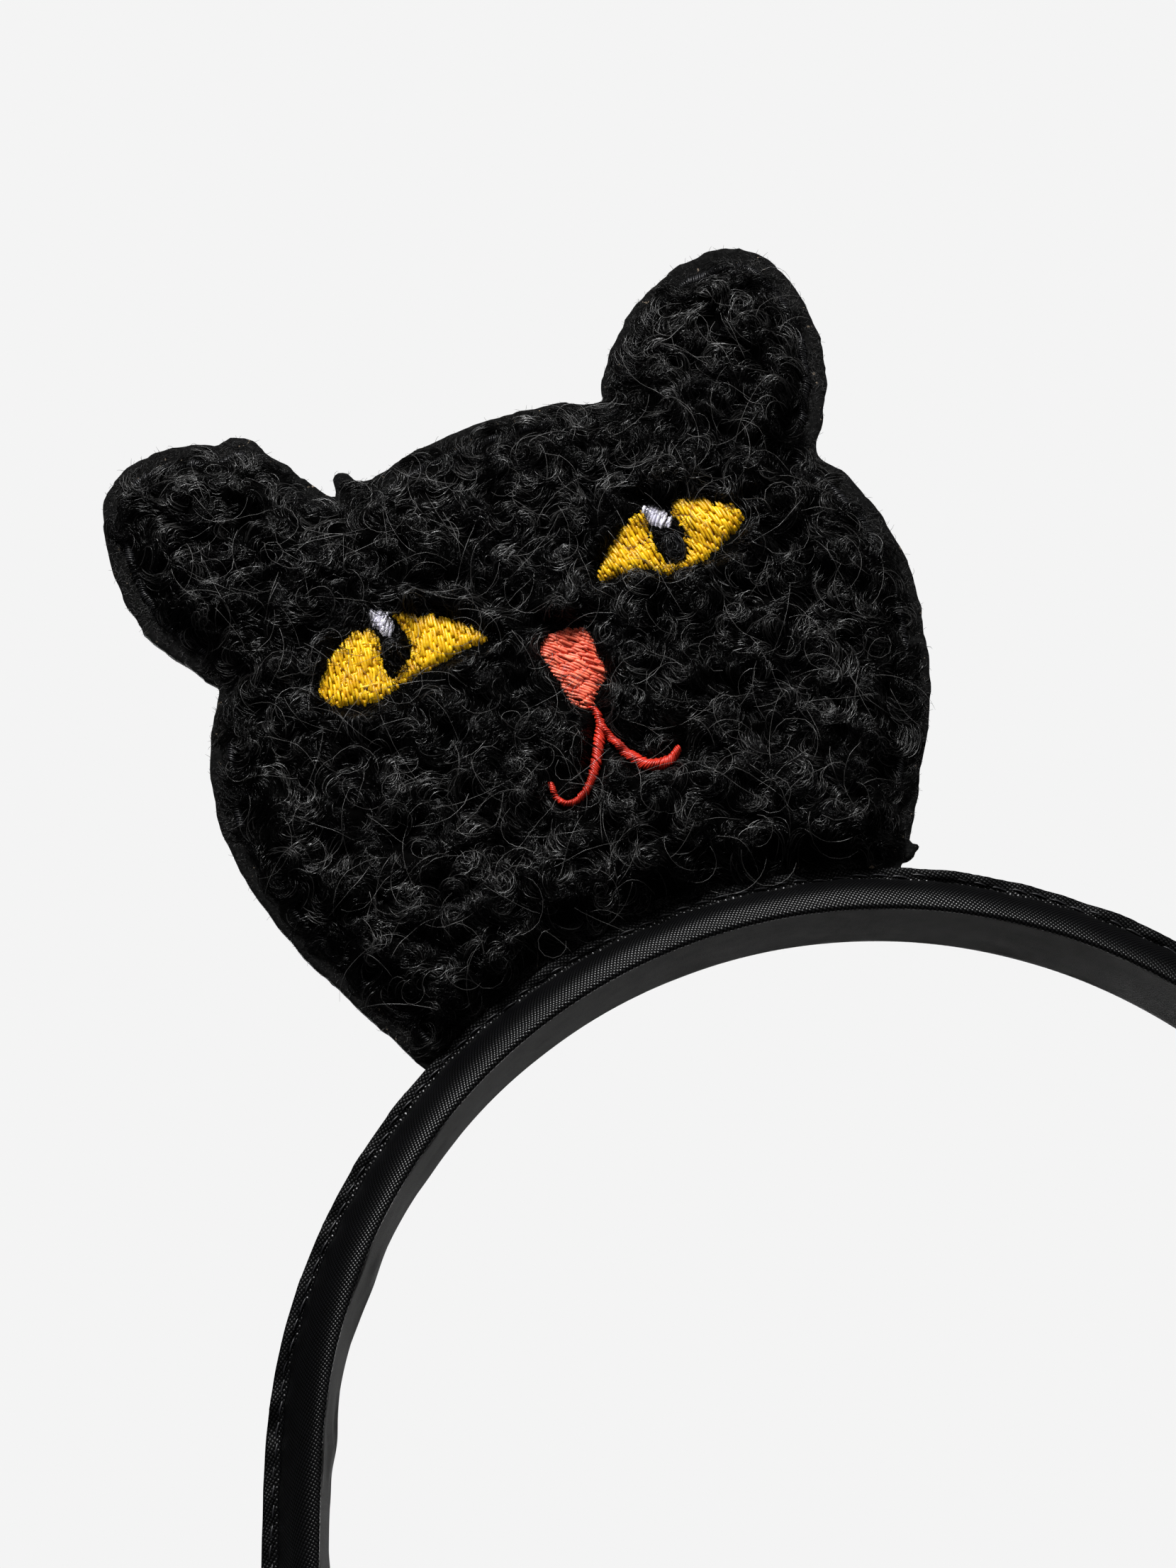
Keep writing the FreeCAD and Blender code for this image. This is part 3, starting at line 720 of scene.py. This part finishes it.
# Cut edge of the felt, (right, up) from the middle of the seam, clockwise from the lower left.
LEFT_CHEEK = [(-30.7, -5.8), (-33.3, -0.1), (-35.8, 5.4), (-38.2, 11.1), (-40.4, 19.5),
              (-41.1, 26.0), (-40.5, 32.0), (-38.3, 38.5), (-35.5, 43.4)]
LEFT_EAR = [(-36.0, 45.2), (-38.4, 48.6), (-40.8, 53.5), (-41.5, 59.0), (-41.0, 65.0),
            (-39.4, 70.3), (-36.0, 73.1), (-32.0, 73.9), (-27.5, 73.2), (-24.4, 72.0),
            (-22.6, 72.5), (-20.6, 71.4), (-19.4, 68.8), (-17.4, 65.6), (-15.6, 62.2)]
CROWN = [(-14.0, 60.6), (-13.3, 62.8), (-11.9, 62.9), (-10.6, 61.0), (-8.0, 61.3), (-5.0, 61.9),
         (0.5, 62.5), (6.0, 62.5), (11.5, 61.9), (16.0, 60.9), (19.6, 59.8)]
RIGHT_EAR = [(20.8, 62.1), (24.3, 66.2), (29.1, 70.1), (34.4, 71.9), (39.6, 72.4), (43.6, 70.7),
             (46.0, 67.2), (47.0, 62.0), (46.9, 57.0), (45.4, 52.0), (43.1, 47.6), (40.5, 43.6)]
RIGHT_CHEEK = [(42.4, 40.2), (43.9, 35.6), (44.8, 30.0), (44.6, 24.5), (43.6, 20.5), (42.0, 15.0),
               (39.5, 9.2), (36.6, 4.6), (34.0, 0.6), (32.2, -2.3), (31.3, -3.9), (32.0, -4.7),
               (30.9, -5.4), (29.8, -5.8), (29.0, -5.7)]
FLANGE_HOLD = 1.3          # how far the felt reaches down between the flange's layers
MARGIN = 3.0
PILE_LIFT = 0.9            # the pile's lower edge over the flange
STITCH_INSET = 2.5


def sewn_edge(drop, left, right, count=24):
    """The head's lower edge, round the band, from the right corner to the left one."""
    radius = FLANGE_R - drop
    span = np.linspace(math.asin(right / radius), math.asin(left / radius), count)
    return np.column_stack([radius * np.sin(span), radius * np.cos(span) - FLANGE_R])


def head_outline(drop):
    cut = spline(LEFT_CHEEK + LEFT_EAR + CROWN + RIGHT_EAR + RIGHT_CHEEK, 7)
    rough = np.column_stack([ripple(cut, 5.0, 31), ripple(cut, 5.0, 32)]) * 0.12
    rough += np.column_stack([ripple(cut, 1.6, 33), ripple(cut, 1.6, 34)]) * 0.07
    return np.vstack([cut + rough, sewn_edge(drop, -29.5, 28.2)])


def drawn_in(loop, inset):
    """The loop moved inwards, without the parts that would fold over themselves."""
    even = resample(loop, 0.4, closed=True)
    way = np.roll(even, -1, axis=0) - np.roll(even, 1, axis=0)
    way /= np.linalg.norm(way, axis=1)[:, None]
    moved = even + inset * np.column_stack([way[:, 1], -way[:, 0]])
    return moved[inside_depth(moved, loop) > inset * 0.93]


class Field:
    """A function of (right, up) kept on a fine grid, to be read quickly at many points."""

    def __init__(self, function, step=0.3):
        self.step = step
        self.low = OUTLINE.min(axis=0) - 4
        self.shape = ((OUTLINE.max(axis=0) + 4 - self.low) / step).astype(int) + 2
        u, v = np.meshgrid(*(low + step * np.arange(n) for low, n in zip(self.low, self.shape)),
                           indexing="ij")
        self.values = function(np.column_stack([u.ravel(), v.ravel()])).reshape(self.shape)

    def __call__(self, points):
        at = (np.asarray(points) - self.low) / self.step
        at = np.clip(at, 0, self.shape - 1.001)
        cell = at.astype(int)
        part = at - cell
        i, j = cell.T
        a = self.values[i, j] * (1 - part[:, 0]) + self.values[i + 1, j] * part[:, 0]
        b = self.values[i, j + 1] * (1 - part[:, 0]) + self.values[i + 1, j + 1] * part[:, 0]
        return a * (1 - part[:, 1]) + b * part[:, 1]


OUTLINE = head_outline(FLANGE_HOLD)
PILE_EDGE = drawn_in(head_outline(MARGIN - PILE_LIFT), MARGIN)
FELT_DEPTH = Field(lambda points: inside_depth(points, OUTLINE))
PILE_DEPTH = Field(lambda points: inside_depth(points, PILE_EDGE))


# Embroidered shapes, (right, up) from the middle of the seam.
EYES = {
    "left": {
        "outer": [(-24.8, 38.0), (-22.6, 40.8), (-19.6, 42.6), (-17.0, 43.2), (-16.2, 41.6),
                  (-16.6, 39.0), (-16.6, 36.9), (-14.6, 36.6), (-13.8, 34.9), (-17.4, 34.3),
                  (-21.0, 34.2), (-24.2, 35.8)],
        "inner": [(-13.4, 43.4), (-10.6, 42.2), (-7.2, 40.2), (-4.8, 37.6), (-3.2, 35.6),
                  (-6.8, 35.9), (-10.2, 35.4), (-13.8, 34.8), (-15.8, 34.9), (-15.9, 36.6),
                  (-13.6, 37.6), (-13.0, 40.4)],
        "glint": [(-15.9, 44.6), (-14.4, 44.2), (-13.9, 41.6), (-14.5, 40.4), (-15.6, 41.2),
                  (-16.0, 43.0)],
        "pupil": (-15.2, 39.0),
        "threads": math.radians(80), "glint_threads": math.radians(58),
        "seed": 110, "thread_seeds": (110, 111),
    },
    "right": {
        "outer": [(9.6, 37.2), (11.0, 39.4), (13.2, 41.6), (16.2, 43.4), (18.0, 43.6), (18.0, 41.4),
                  (17.8, 38.6), (18.6, 37.0), (19.0, 35.3), (17.2, 35.3), (15.0, 37.2), (12.0, 37.5)],
        "inner": [(21.4, 43.4), (24.0, 43.3), (26.4, 42.3), (28.2, 40.4), (28.7, 38.2), (26.6, 36.6),
                  (23.6, 35.4), (19.4, 35.2), (17.6, 35.4), (17.7, 37.0), (20.6, 37.2), (21.6, 39.8)],
        "glint": [(18.2, 44.2), (19.6, 43.9), (20.9, 41.8), (20.3, 40.5), (19.1, 41.0),
                  (18.3, 42.6)],
        "pupil": (19.8, 38.6),
        "threads": math.radians(97), "glint_threads": math.radians(50),
        "seed": 120, "thread_seeds": (122, 123),
    },
}
NOSE = [(0.7, 33.6), (2.6, 34.1), (5.4, 33.8), (6.3, 33.0), (6.7, 30.0), (6.4, 27.4), (5.2, 25.4),
        (3.6, 24.0), (2.4, 24.0), (1.5, 25.4), (1.1, 28.2), (0.5, 31.4)]
STEM = [(3.4, 24.0), (3.6, 22.6), (3.4, 21.4)]
MOUTH_LEFT = [(3.4, 21.6), (2.6, 20.2), (1.4, 18.2), (-0.2, 16.0), (-2.2, 14.6), (-3.8, 14.6),
              (-4.6, 15.8), (-4.5, 17.6)]
MOUTH_RIGHT = [(3.5, 21.4), (4.1, 19.5), (5.0, 17.4), (6.3, 15.5), (7.9, 14.8), (9.4, 14.9),
               (10.6, 15.7)]

EMBROIDERED = [np.array(shape, float) for shape in (
    *(eye[part] for eye in EYES.values() for part in ("outer", "inner", "glint")), NOSE)]
LINES = [resample(spline(line, 6), 0.8) for line in (STEM, MOUTH_LEFT, MOUTH_RIGHT)]


def embroidery_depth(points):
    """Depth inside the nearest embroidered shape, or minus the distance to it."""
    depth = np.full(len(points), -1e9)
    for shape in EMBROIDERED:
        depth = np.maximum(depth, inside_depth(points, shape))
    for line in LINES:
        gap = np.linalg.norm(points[:, None, :] - line[None], axis=2).min(axis=1)
        depth = np.maximum(depth, 0.7 - gap)
    return depth


EMBROIDERY = Field(embroidery_depth)


STITCHED_DEPTH = 3.4        # how far the stitched face stands ahead of the seam plane
TUFT_SPACING = 6.0
TUFT_RADIUS = 3.7

TUFTS = scattered(PILE_EDGE, TUFT_SPACING, 61, -1.0)
TUFT_HAND = np.where(stream(62).random(len(TUFTS)) < 0.5, -1.0, 1.0)
TUFT_RISE = stream(63).uniform(0.7, 2.1, len(TUFTS))


def nearest_tuft(points):
    gaps = np.linalg.norm(points[:, None, :] - TUFTS[None], axis=2)
    owner = gaps.argmin(axis=1)
    return owner, gaps[np.arange(len(points)), owner]


def pile_height(points):
    """How far the pile's ground stands ahead of the seam plane: padded, and gathered into
    tufts with a hollow between them."""
    edge = PILE_DEPTH(points)
    owner, gap = nearest_tuft(points)
    loft = 1.0 + 2.0 * smoothstep(-0.5, 4.5, edge)
    loft += TUFT_RISE[owner] * np.clip(1 - (gap / TUFT_RADIUS) ** 2, 0, 1) * smoothstep(-0.5, 3, edge)
    loft += 0.35 * ripple(points, 11, 41) * smoothstep(0, 4, edge)
    loft += 0.2 * ripple(points, 2.5, 42) * smoothstep(0, 3, edge)
    pressed = smoothstep(-2.0, 0.4, EMBROIDERY(points))
    return loft * (1 - pressed) + (STITCHED_DEPTH - 0.35) * pressed


# ---------------------------------------------------------------- cat head: cloth pieces


def stand(piece, nodes, crosses_seam=True):
    """Fix a piece of the head: cloth that reaches the seam is baked into place and left off the head's body, the
    rest rides with it.
    """
    if crosses_seam:
        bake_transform(piece)
    else:
        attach(piece, "cat_head")
    if nodes:
        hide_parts(*nodes)
    return piece


def make_felt():
    def pinch(points):
        radius = np.hypot(points[:, 0], points[:, 1] + FLANGE_R)
        return smoothstep(FLANGE_R - 0.2, FLANGE_R + 1.8, radius)

    def front(points):
        free = FELT_FRONT - 0.1 * np.abs(ripple(points, 0.9, 51)) - 0.25 * ripple(points, 14, 52)
        return -0.24 + (free + 0.24) * pinch(points)

    def back(points):
        free = FELT_BACK + 0.06 * ripple(points, 1.1, 53) - 0.25 * ripple(points, 14, 52)
        return 0.24 + (free - 0.24) * pinch(points)

    felt = plate("felt_cloth", OUTLINE, 0.55, front, back, FELT, 50)
    stand(felt, ["felt_backing"])


def make_pile_ground():
    """The plush's woven ground, under and between its curls."""
    def front(points):
        return -pile_height(points)

    def back(points):
        return np.full(len(points), FELT_FRONT - 0.25)

    ground = plate("pile_ground", PILE_EDGE, 0.7, front, back, GROUND, 60)
    stand(ground, ["pile_face", "head_wadding"])


# ---------------------------------------------------------------- cat head: curls

def walked(start, angle, pace):
    """Flat lines from each start (N, 2), in steps of its own pace along the angles (N, S)."""
    way = np.stack([np.cos(angle), np.sin(angle)], axis=-1)
    line = start[:, None, :] + np.cumsum(way * pace[:, None, None], axis=1)
    return line[..., 0], line[..., 1]


def hairs(name, u, depth, v, radius, tip, finish, tilt=0.0):
    """Single hairs or fibres whose radius narrows to the share tip. tilt turns each one's faces."""
    radii = radius * np.broadcast_to(np.linspace(1, tip, u.shape[1]), u.shape)
    return tubes(name, on_head(u, depth, v), radii, BACKWARD + tilt * np.ones((len(u), 3)), finish)


def curls(name, centres, per_lock, seed):
    """Locks of hair. Each lock is a bundle that rises from the ground and rolls round the
    middle of its tuft; its hairs share the roll and differ a little."""
    rng = stream(seed)
    locks, steps = len(centres), 10
    owner, far = nearest_tuft(centres)
    arm = centres - TUFTS[owner]
    way = TUFT_HAND[owner] * np.where(rng.random(locks) < 0.15, -1, 1)
    lock_heading = np.arctan2(arm[:, 1], arm[:, 0]) + way * math.pi / 2 + rng.normal(0, 0.5, locks)
    lock_roll = np.clip(far, 0.8, 2.6) * rng.uniform(0.7, 1.3, locks)
    lock_length = rng.uniform(3.0, 6.5, locks)
    lock_lift = rng.uniform(0.35, 1.15, locks)
    pick = np.repeat(np.arange(locks), per_lock)
    count = len(pick)
    heading = lock_heading[pick] + rng.normal(0, 0.16, count)
    roll = lock_roll[pick] * rng.normal(1, 0.13, count).clip(0.6, 1.6)
    length = lock_length[pick] * rng.uniform(0.7, 1.15, count)
    start = centres[pick] + rng.normal(0, 0.42, (count, 2))
    t = np.linspace(0, 1, steps)
    tighten = 1 + 0.7 * t[None] ** 2                   # the curl tightens to its tip
    turn = (way[pick] * length / roll)[:, None] * t[None] * tighten / 1.2
    u, v = walked(start, heading[:, None] + turn, length / (steps - 1))
    # each curl stands over its root
    u -= (u.mean(axis=1) - start[:, 0])[:, None] * 0.7
    v -= (v.mean(axis=1) - start[:, 1])[:, None] * 0.7
    flat = np.column_stack([u.ravel(), v.ravel()])
    arch = 0.1 + np.sin(math.pi * (0.06 + 0.86 * t)) ** 0.8
    lift = arch[None] * (lock_lift[pick] * rng.normal(1, 0.25, count))[:, None]
    edge = FELT_DEPTH(flat).reshape(u.shape)
    pressed = smoothstep(-0.9, 1.0, EMBROIDERY(flat)).reshape(u.shape)
    height = (pile_height(flat).reshape(u.shape) + lift) * (1 - 0.25 * pressed)
    height *= np.minimum(1.0, 0.5 + 0.5 * smoothstep(0.3, 3.0, edge))
    lines = on_head(u, -height, v)
    taper = np.interp(t, [0, 0.15, 0.7, 1], [0.7, 1, 0.9, 0.35])
    # about a third of the locks get many lighter hairs and the rest few: real lighter hairs, and a painted
    # highlight in clusters
    lighter = rng.random(count) < np.where(rng.random(locks) < 0.3, 0.42, 0.05)[pick]
    radii = (rng.uniform(0.028, 0.05, count) * np.where(lighter, 1.15, 1))[:, None] * taper[None]
    reference = np.tile(BACKWARD, (count, 1)) + rng.normal(0, 0.05, (count, 3))
    # few hairs hang over the flange
    clear = np.hypot(u, v + FLANGE_R).min(axis=1) - FLANGE_R
    keep = (edge.min(axis=1) > 0.1) & (pressed.mean(axis=1) < 0.3)
    keep &= clear > rng.normal(-0.2, 0.4, count)
    piece = tubes(name, lines[keep], radii[keep], reference[keep], FUR)
    lighter = lighter[keep]
    piece.data.materials.append(LIGHTER_FUR)
    piece.data.polygons.foreach_set("material_index", np.concatenate(
        [np.repeat(lighter, (steps - 1) * 3), lighter, lighter]).astype(int))
    return piece


def bare_margin(points):
    """How wide the felt is left bare: the pile reaches almost to the edge over the crown."""
    crown = smoothstep(-16, -10, points[:, 0]) * smoothstep(34, 26, points[:, 0])
    ear = smoothstep(38, 43, points[:, 0]) * smoothstep(44, 50, points[:, 1])
    return MARGIN - 1.3 - 1.3 * crown * smoothstep(48, 56, points[:, 1]) + 0.9 * ear


def make_fur():
    spacing, per_lock = ((2.0, 25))
    centres = scattered(head_outline(MARGIN - PILE_LIFT), spacing, 70)
    centres = centres[FELT_DEPTH(centres) > bare_margin(centres)]
    order = np.argsort(centres[:, 1] + 0.3 * centres[:, 0])
    for index, part in enumerate(np.array_split(centres[order], 8)):
        piece = curls(f"curls_{index + 1}", part, per_lock, 700 + index * 10)
        stand(piece, [])


def make_edge_hairs():
    """Short dark hairs that lie over the borders of the embroidery."""
    rng = stream(85)
    shapes = [resample(spline(shape, 5, closed=True), 0.16, closed=True)
              for shape in EMBROIDERED]
    middles = np.vstack([np.tile(shape.mean(axis=0), (len(shape), 1)) for shape in shapes])
    roots = np.vstack(shapes)
    count, steps = len(roots), 6
    t = np.linspace(0, 1, steps)
    inward = np.arctan2(*(middles - roots).T[::-1])
    heading = inward + rng.normal(0, 0.9, count)
    angle = heading[:, None] + rng.normal(0, 1.6, count)[:, None] * t[None]
    pace = rng.uniform(0.7, 1.9, count) / (steps - 1)
    away = rng.uniform(0.3, 1.0, (count, 1))
    start = roots - away * np.column_stack([np.cos(inward), np.sin(inward)])
    u, v = walked(start, angle, pace)
    rise = STITCHED_DEPTH + 0.15 + rng.uniform(0.1, 0.5, count)[:, None] * np.sin(math.pi * t)[None]
    radius = rng.uniform(0.03, 0.05, (count, 1))
    piece = hairs("hairs_over_embroidery", u, -rise, v, radius, 0.4, FUR)
    stand(piece, [], crosses_seam=False)


def make_stray_hairs():
    """Long single hairs that wander over the curls and past the edge."""
    rng = stream(90)
    centres = scattered(PILE_EDGE, 3.6, 91, 0.5)
    count, steps = len(centres), 9
    t = np.linspace(0, 1, steps)
    heading = rng.uniform(0, 2 * math.pi, count)
    bend = rng.normal(0, 2.2, count)
    length = rng.uniform(4, 10, count)
    u, v = walked(centres, heading[:, None] + bend[:, None] * t[None], length / (steps - 1))
    flat = np.column_stack([u.ravel(), v.ravel()])
    edge = FELT_DEPTH(flat).reshape(u.shape)
    height = pile_height(flat).reshape(u.shape) * smoothstep(-2, 2, edge)
    height += 1.2 + 0.5 * np.sin(math.pi * t)[None]
    keep = (edge.min(axis=1) > -1.3) & (v.min(axis=1) > -6)
    piece = hairs("stray_hairs", u[keep], -height[keep], v[keep], 0.028, 0.5, GREY_HAIR)
    stand(piece, [])


def make_felt_fuzz():
    """Short fibres that stand up all over the felt's bare margin."""
    rng = stream(95)
    spacing = 0.36
    centres = scattered(OUTLINE, spacing, 96, 0.05)
    edge = FELT_DEPTH(centres)
    centres = centres[(edge > 0.35) & (edge < MARGIN + 0.6) & (centres[:, 1] > -4.5)]
    count, steps = len(centres), 5
    t = np.linspace(0, 1, steps)
    heading = rng.uniform(0, 2 * math.pi, count)
    angle = heading[:, None] + rng.normal(0, 1.6, count)[:, None] * t[None]
    u, v = walked(centres, angle, rng.uniform(0.4, 1.0, count) / (steps - 1))
    rise = rng.uniform(0.05, 0.5, count)[:, None] * t[None]
    tilt = rng.normal(0, 0.05, (count, 3))
    piece = hairs("felt_fuzz", u, FELT_FRONT - 0.02 - rise, v, 0.03, 0.4, FUZZ, tilt)
    stand(piece, [])


# ---------------------------------------------------------------- cat head: stitching

def rope(name, path, width, pitch, thick, lift, arch, finish, slant=0.35, seed=1, shares=(1.0, 1.0)):
    """Narrow satin stitch: threads laid side by side across a line, each a low arch. The line's
    width follows the shares, spaced evenly from its start to its end."""
    rng = stream(seed)
    line = resample(path, pitch)
    way = np.gradient(line, axis=0)
    way /= np.maximum(np.linalg.norm(way, axis=1, keepdims=True), 1e-9)
    side = np.column_stack([-way[:, 1], way[:, 0]])
    steps = 7
    t = np.linspace(-1, 1, steps)
    count = len(line)
    share = np.interp(np.linspace(0, 1, count), np.linspace(0, 1, len(shares)), shares)
    half = width / 2 * rng.normal(1, 0.10, (count, 1)) * share[:, None]
    flat = (line[:, None, :] + side[:, None, :] * (half * t[None])[..., None]
            + way[:, None, :] * (slant * half * t[None])[..., None])
    flat += rng.normal(0, 0.03, (count, 1, 2))
    depth = lift(flat.reshape(-1, 2)).reshape(count, steps) + arch * (1 - t ** 2)[None] - 0.1
    lines = on_head(flat[..., 0], -depth, flat[..., 1])
    radii = np.full((count, steps), thick / 2)
    reference = way[:, 0:1] * ALONG + way[:, 1:2] * UP
    return tubes(name, lines, radii, reference, finish, sides=5)


def border_line():
    """The line of the satin stitch round the pile, from one end of the seam to the other."""
    loop = drawn_in(OUTLINE, STITCH_INSET)
    start = np.argmin(np.hypot(loop[:, 0] + 29.5, loop[:, 1] + 3.5))
    loop = np.roll(loop, -start, axis=0)
    radius = np.hypot(loop[:, 0], loop[:, 1] + FLANGE_R)
    return loop[radius > FLANGE_R + 1.2]


def make_border():
    def on_felt(points):
        return np.full(len(points), -FELT_FRONT + 0.25)

    line = border_line()
    gaps = np.where(np.linalg.norm(np.diff(line, axis=0), axis=1) > 6)[0]
    if len(gaps):
        line = np.roll(line, -(gaps[0] + 1), axis=0)
    pitch = 0.27
    piece = rope("border_satin_stitch", line, 0.95, pitch, 0.25, on_felt, 0.35, BLACK_THREAD, seed=101)
    stand(piece, ["border_stitching"])


def satin_fill(name, shape, heading, pitch, thick, finish, seed, longest=3.6, sunk=0.0):
    """A field of satin stitch: rows of parallel threads, each broken into short stitches whose
    ends dive into the cloth and are staggered from row to row. sunk lowers the whole field."""
    rng = stream(seed)
    shape = np.asarray(shape, float)
    loop = spline(shape, 5, closed=True)
    way = np.array([math.cos(heading), math.sin(heading)])
    side = np.array([-way[1], way[0]])
    rows = loop @ side
    stitches = []
    for row_index, row in enumerate(np.arange(rows.min() + pitch / 2, rows.max(), pitch)):
        sample = np.arange((loop @ way).min(), (loop @ way).max(), 0.12)
        points = sample[:, None] * way + row * side
        inside = inside_depth(points, loop) > 0
        edges = np.flatnonzero(np.diff(np.concatenate([[False], inside, [False]]).astype(int)))
        for begin, finish_at in zip(edges[::2], edges[1::2]):
            low, high = sample[begin], sample[min(finish_at, len(sample) - 1)]
            low -= rng.uniform(0, 0.35)
            high += rng.uniform(0, 0.35)
            if high - low < 0.5:
                continue
            cut = low + (row_index % 3 + rng.uniform(0.2, 0.8)) * longest / 3
            marks = [low]
            while cut < high - 0.8:
                if cut - marks[-1] > 0.9:
                    marks.append(cut)
                cut += longest * rng.uniform(0.85, 1.1)
            marks.append(high)
            stitches += [(a, b, row + rng.normal(0, 0.03)) for a, b in zip(marks, marks[1:])]
    steps = 9
    t = np.linspace(0, 1, steps)
    stitches = np.array(stitches)
    along = stitches[:, 0:1] + (stitches[:, 1:2] - stitches[:, 0:1]) * t[None]
    waver = 0.05 * np.sin(t * math.pi * 2)[None] * rng.normal(0, 1, (len(stitches), 1))
    across = stitches[:, 2:3] + waver
    flat = along[..., None] * way + across[..., None] * side
    sag = (1 - np.abs(2 * t - 1) ** 5)[None]
    depth = STITCHED_DEPTH + 0.22 * sag - 0.15 + 0.10 * rng.normal(size=(len(stitches), 1))
    depth = depth + 0.2 * ripple(flat.reshape(-1, 2), 5.0, 115).reshape(along.shape) - sunk
    # the field is drawn down into the pile along its borders, most along the lower one
    border = inside_depth(flat.reshape(-1, 2), loop).reshape(along.shape)
    lower = smoothstep(0.5, 0.0, (flat[..., 1] - loop[:, 1].min()) / np.ptp(loop[:, 1]))
    depth -= (0.3 + 0.5 * lower) * smoothstep(1.4, 0.0, border)
    lines = on_head(flat[..., 0], -depth, flat[..., 1])
    swell = 0.75 + 0.25 * sag
    radii = thick / 2 * swell * rng.normal(1, 0.07, (len(stitches), 1))
    reference = np.tile(side[0] * ALONG + side[1] * UP, (len(stitches), 1))
    return tubes(name, lines, radii, reference, finish, sides=6)


def underlay(name, shape, heading, thick, finish, seed):
    """The first layer of an embroidered field: crosswise threads, a little inside its border."""
    middle = np.mean(shape, axis=0)
    inner = middle + (np.asarray(shape) - middle) * 0.88
    piece = satin_fill(name, inner, heading + math.pi / 2, thick * 0.8, thick, finish, seed, sunk=0.26)
    stand(piece, [], crosses_seam=False)


EYE_THREAD = 0.40
THREAD_PITCH = 0.34
UNDERLAY_THREAD = 0.44
NOSE_THREADS = math.radians(-44)


def make_eye(side, eye):
    seed = eye["seed"]
    for part, nodes, thread_seed in zip(("outer", "inner"), ([f"eye_{side}"], []), eye["thread_seeds"]):
        piece = satin_fill(f"eye_{side}_{part}_threads", eye[part], eye["threads"], THREAD_PITCH,
                           EYE_THREAD, YELLOW, thread_seed, longest=2.3)
        stand(piece, nodes, crosses_seam=False)
        underlay(f"eye_{side}_{part}_underlay", eye[part], eye["threads"], UNDERLAY_THREAD, YELLOW,
                 seed + 30)
    glint = satin_fill(f"eye_{side}_glint_threads", eye["glint"], eye["glint_threads"], 0.36, 0.44,
                       WHITE, seed + 5)
    stand(glint, [f"glint_{side}"], crosses_seam=False)
    underlay(f"eye_{side}_glint_underlay", eye["glint"], eye["glint_threads"], 0.4, WHITE,
             seed + 35)
    make_pupil(side, eye["pupil"], seed + 6)


def make_face():
    for side, eye in EYES.items():
        make_eye(side, eye)
    nose = satin_fill("nose_threads", NOSE, NOSE_THREADS, THREAD_PITCH, 0.40, CORAL, 130, longest=2.0)
    stand(nose, ["nose_embroidery"], crosses_seam=False)
    underlay("nose_underlay", NOSE, NOSE_THREADS, UNDERLAY_THREAD, CORAL, 131)

    def on_pile(points):
        return STITCHED_DEPTH + 0.1 + 0.2 * ripple(points, 3.0, 139)

    for name, line, node, shares in (
            ("mouth_stem_threads", STEM, "mouth_stem", (0.7, 0.9)),
            ("mouth_left_threads", MOUTH_LEFT, "mouth_left", (1.1, 1.25, 1.1, 0.7, 0.55, 0.5)),
            ("mouth_right_threads", MOUTH_RIGHT, "mouth_right", (0.7, 1.0, 1.35, 1.4, 0.6))):
        piece = rope(name, spline(line, 6), 0.95, 0.27, 0.32, on_pile, 0.36, RED, slant=0.8,
                     seed=140 + len(name), shares=shares)
        stand(piece, [node], crosses_seam=False)


def make_pupil(side, place, seed):
    """The pupil: a small knot of black thread in the eye's notch."""
    rng = stream(seed)
    count = 46
    t = np.linspace(0, 1, 8)
    begin = rng.uniform(0, 2 * math.pi, (count, 1))
    angle = begin + rng.uniform(1.5, 4.5, (count, 1)) * t[None]
    radius = rng.uniform(0.3, 1.3, (count, 1))
    u = place[0] + radius * np.cos(angle)
    v = place[1] + 1.5 * radius * np.sin(angle)
    depth = STITCHED_DEPTH - 0.3 + rng.uniform(0.0, 0.5, count)[:, None] * np.sin(math.pi * t)[None]
    lines = on_head(u, -depth, v)
    radii = np.full(u.shape, 0.09)
    reference = np.tile(BACKWARD, (count, 1))
    piece = tubes(f"pupil_{side}_threads", lines, radii, reference, BLACK_THREAD, sides=4)
    stand(piece, [f"pupil_{side}"], crosses_seam=False)


# ---------------------------------------------------------------- the object

def dress_cad_nodes():
    finishes = {"core_strip": PLASTIC, "padding_strip": WADDING, "head_seam_tab": FELT,
                "head_wadding": WADDING}
    for node, finish in finishes.items():
        part = frame["nodes"][node]
        for slot in part.material_slots:
            slot.material = finish


make_camera()
make_studio()
dress_cad_nodes()
make_cover()
seam_stitches(-1, "seam_stitches_front", "seam_thread_front")
seam_stitches(1, "seam_stitches_back", "seam_thread_back")
tip_wrap(-1, "tip_wrap_left", "tip_fold_left")
tip_wrap(1, "tip_wrap_right", "tip_fold_right")
make_felt()
make_pile_ground()
make_border()
make_face()
make_fur()
make_edge_hairs()
make_stray_hairs()
make_felt_fuzz()
